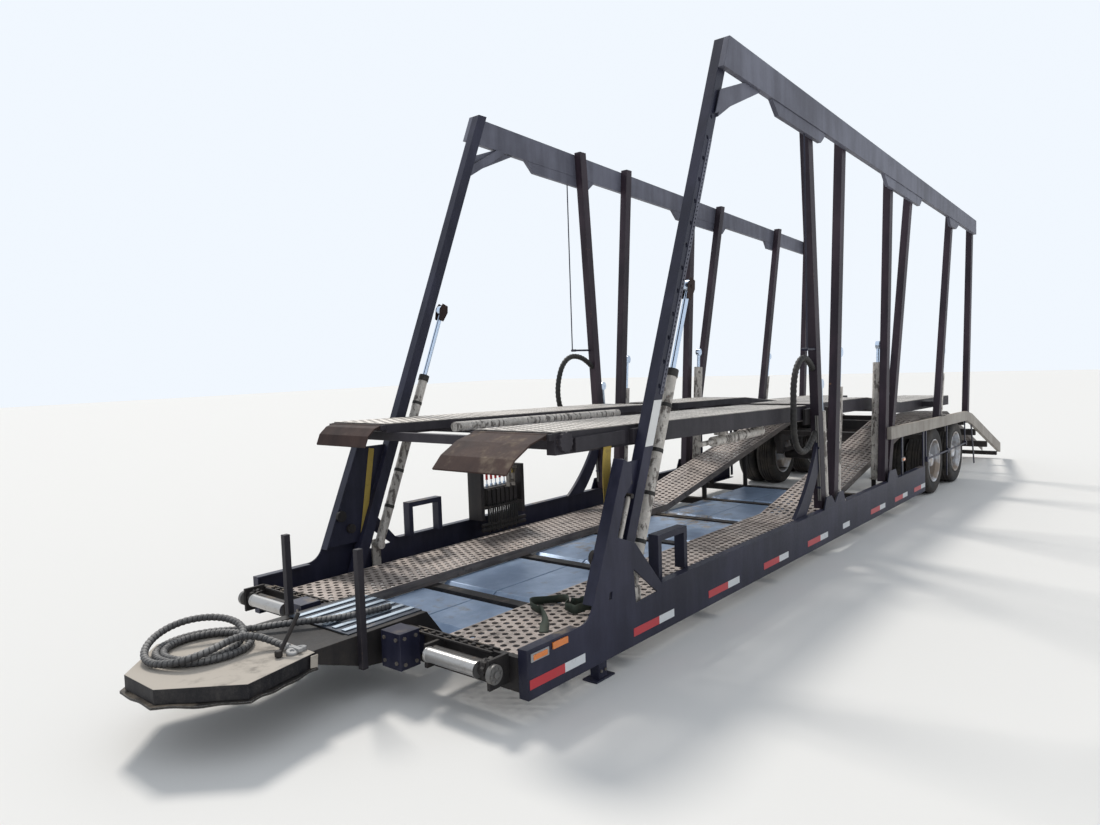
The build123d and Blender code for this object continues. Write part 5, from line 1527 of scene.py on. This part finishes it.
print("green strap:", round(green_long, 3), "m long")

# %% [markdown]
# ## Pipes, pins and bolt heads
# Two steel pipes climb each post under small clamps. Curves with a round section would do, but the
# pipes are straight, so each is one bar laid beside its post's line, a little behind or before it.

# %% Pipes on the posts
# Foot and head of each post's middle, the pipes' offset from it, and their lowest and highest point.
POST_PIPES = {
    "first": ((5.496, 0.424), (5.280, 3.713), -0.058, 0.50, 1.27),
    "second": ((5.785, 0.424), (6.107, 3.782), 0.058, 0.50, 1.30),
    "third": ((7.279, 0.424), (7.565, 3.684), 0.058, 0.52, 1.45),
}
PIPE_YS, PIPE_R = (1.241, 1.224), 0.0072
CLAMP_HALF, CLAMP_Y, CLAMP_EVERY = (0.0090, 0.010), (1.206, 1.2495), 0.36


def along_post(foot, head, z):
    """Station of a straight post at a height z, read between its foot and its head."""
    return foot[0] + (head[0] - foot[0]) * (z - foot[1]) / (head[1] - foot[1])


pipes, clamps = [], []
for foot, head, behind, low, high in POST_PIPES.values():
    s0, s1 = (along_post(foot, head, z) + behind for z in (low, high))
    pipes += [bars(at(s0, y, low), at(s1, y, high), PIPE_R, 12) for y in PIPE_YS]
    z = np.arange(low + 0.12, high, CLAMP_EVERY)
    s = along_post(foot, head, z) + behind
    clamps.append(slabs(s - CLAMP_HALF[0], s + CLAMP_HALF[0], *CLAMP_Y, z - CLAMP_HALF[1], z + CLAMP_HALF[1]))
piece("post_pipes", both(joined(*pipes)), PIPE_GREY, "dark_frame")
piece("pipe_clamps", both(joined(*clamps)), BLACK, "black_paint", bevel=0.002)

# %% [markdown]
# The front header carries a row of short pins between two rails, and hexagon bolts hold the neck
# brackets and the deck ends. Threads and washers would never be seen, so a bolt is a bar of six
# sides that stands on its face.

# %% Header pins and hexagon bolts
PIN_Y = np.linspace(0.47, 1.04, 10)
PIN_S, PIN_LOW, PIN_HIGH = 1.362, 0.330, 0.344


def bolts(places, ahead, radius=0.011, high=0.009):
    """Hexagon heads standing on a face, all along one direction."""
    return bars(places, places + high * np.array(ahead), radius, 6)


pins = bars(at(PIN_S, PIN_Y, PIN_LOW), at(PIN_S, PIN_Y, PIN_HIGH), 0.013, 14)
rails = slabs([1.326, 1.384], [1.338, 1.396], 0.44, 1.08, 0.3300, 0.3420)
piece("header_pins", both(joined(pins, rails)), FRAME_DARK, "dark_frame", bevel=0.002)
heads = joined(
    bolts(at(1.160, [0.42, 0.52, 0.42, 0.52], [0.210, 0.210, 0.340, 0.340]), (1, 0, 0)),
    bolts(at([1.19, 1.27, 1.19, 1.27], 0.550, [0.200, 0.200, 0.345, 0.345]), (0, 1, 0)),
    bolts(at([2.030, 2.070], 1.2555, [0.05, 0.05]), (0, 1, 0), 0.009),
)
piece("bracket_bolts", both(heads), BOLT, "dark_frame")

# %% [markdown]
# Bare bright rollers lie in the header, each with a grey hub outside its bearing. One turned profile
# gives a roller its collars, and eight sockets round the hub show which way it has turned.

# %% Rollers, their hubs and the nose's corner plates
ROLLER = (1.235, 0.276)
SLEEVE = [
    (0, 0.030), (0, 0.043), (0.010, 0.043), (0.014, 0.0395), (0.366, 0.0395), (0.370, 0.043),
    (0.380, 0.043), (0.380, 0.030),
]
HUB_IN, HUB_FACE, HUB_OUT = 1.1683, 1.196, 1.204
SOCKETS, SOCKET_CIRCLE = 8, 0.036
CORNER = [(0.700, 0.305), (0.742, 0.300), (0.748, 0.366), (0.706, 0.366)]


def beside_roller(y, s=0.0, z=0.0):
    """A point or points at width y, moved off the roller's axle by s and z."""
    return at(ROLLER[0] + s, y, ROLLER[1] + z)


turn = np.radians(360 / SOCKETS * np.arange(SOCKETS))
sockets = beside_roller(HUB_FACE, SOCKET_CIRCLE * np.cos(turn), SOCKET_CIRCLE * np.sin(turn))
hubs = joined(
    bars(beside_roller(HUB_IN), beside_roller(HUB_FACE), 0.050, 40),
    bars(beside_roller(HUB_FACE), beside_roller(HUB_OUT), 0.018, 20),
    bolts(sockets, (0, 1, 0), 0.0085, 0.005),
)
piece("roller_sleeves", both(turned(SLEEVE, beside_roller(0.692), (0, 1, 0), 40)), BARE_TUBE, "chrome_rod")
piece("roller_hubs", both(hubs), PIPE_GREY, "dark_frame", bevel=0.0015)
piece("nose_corner_plates", both(prism(CORNER, 0.3945, 0.4020)), WORN_EDGE, "nose_paint", bevel=0.002)

# %% [markdown]
# ## Finish
# Colours leave the scene as they were written, so the view transform is the plain one.

# %% Finish
bpy.context.scene.view_settings.view_transform = "Standard"
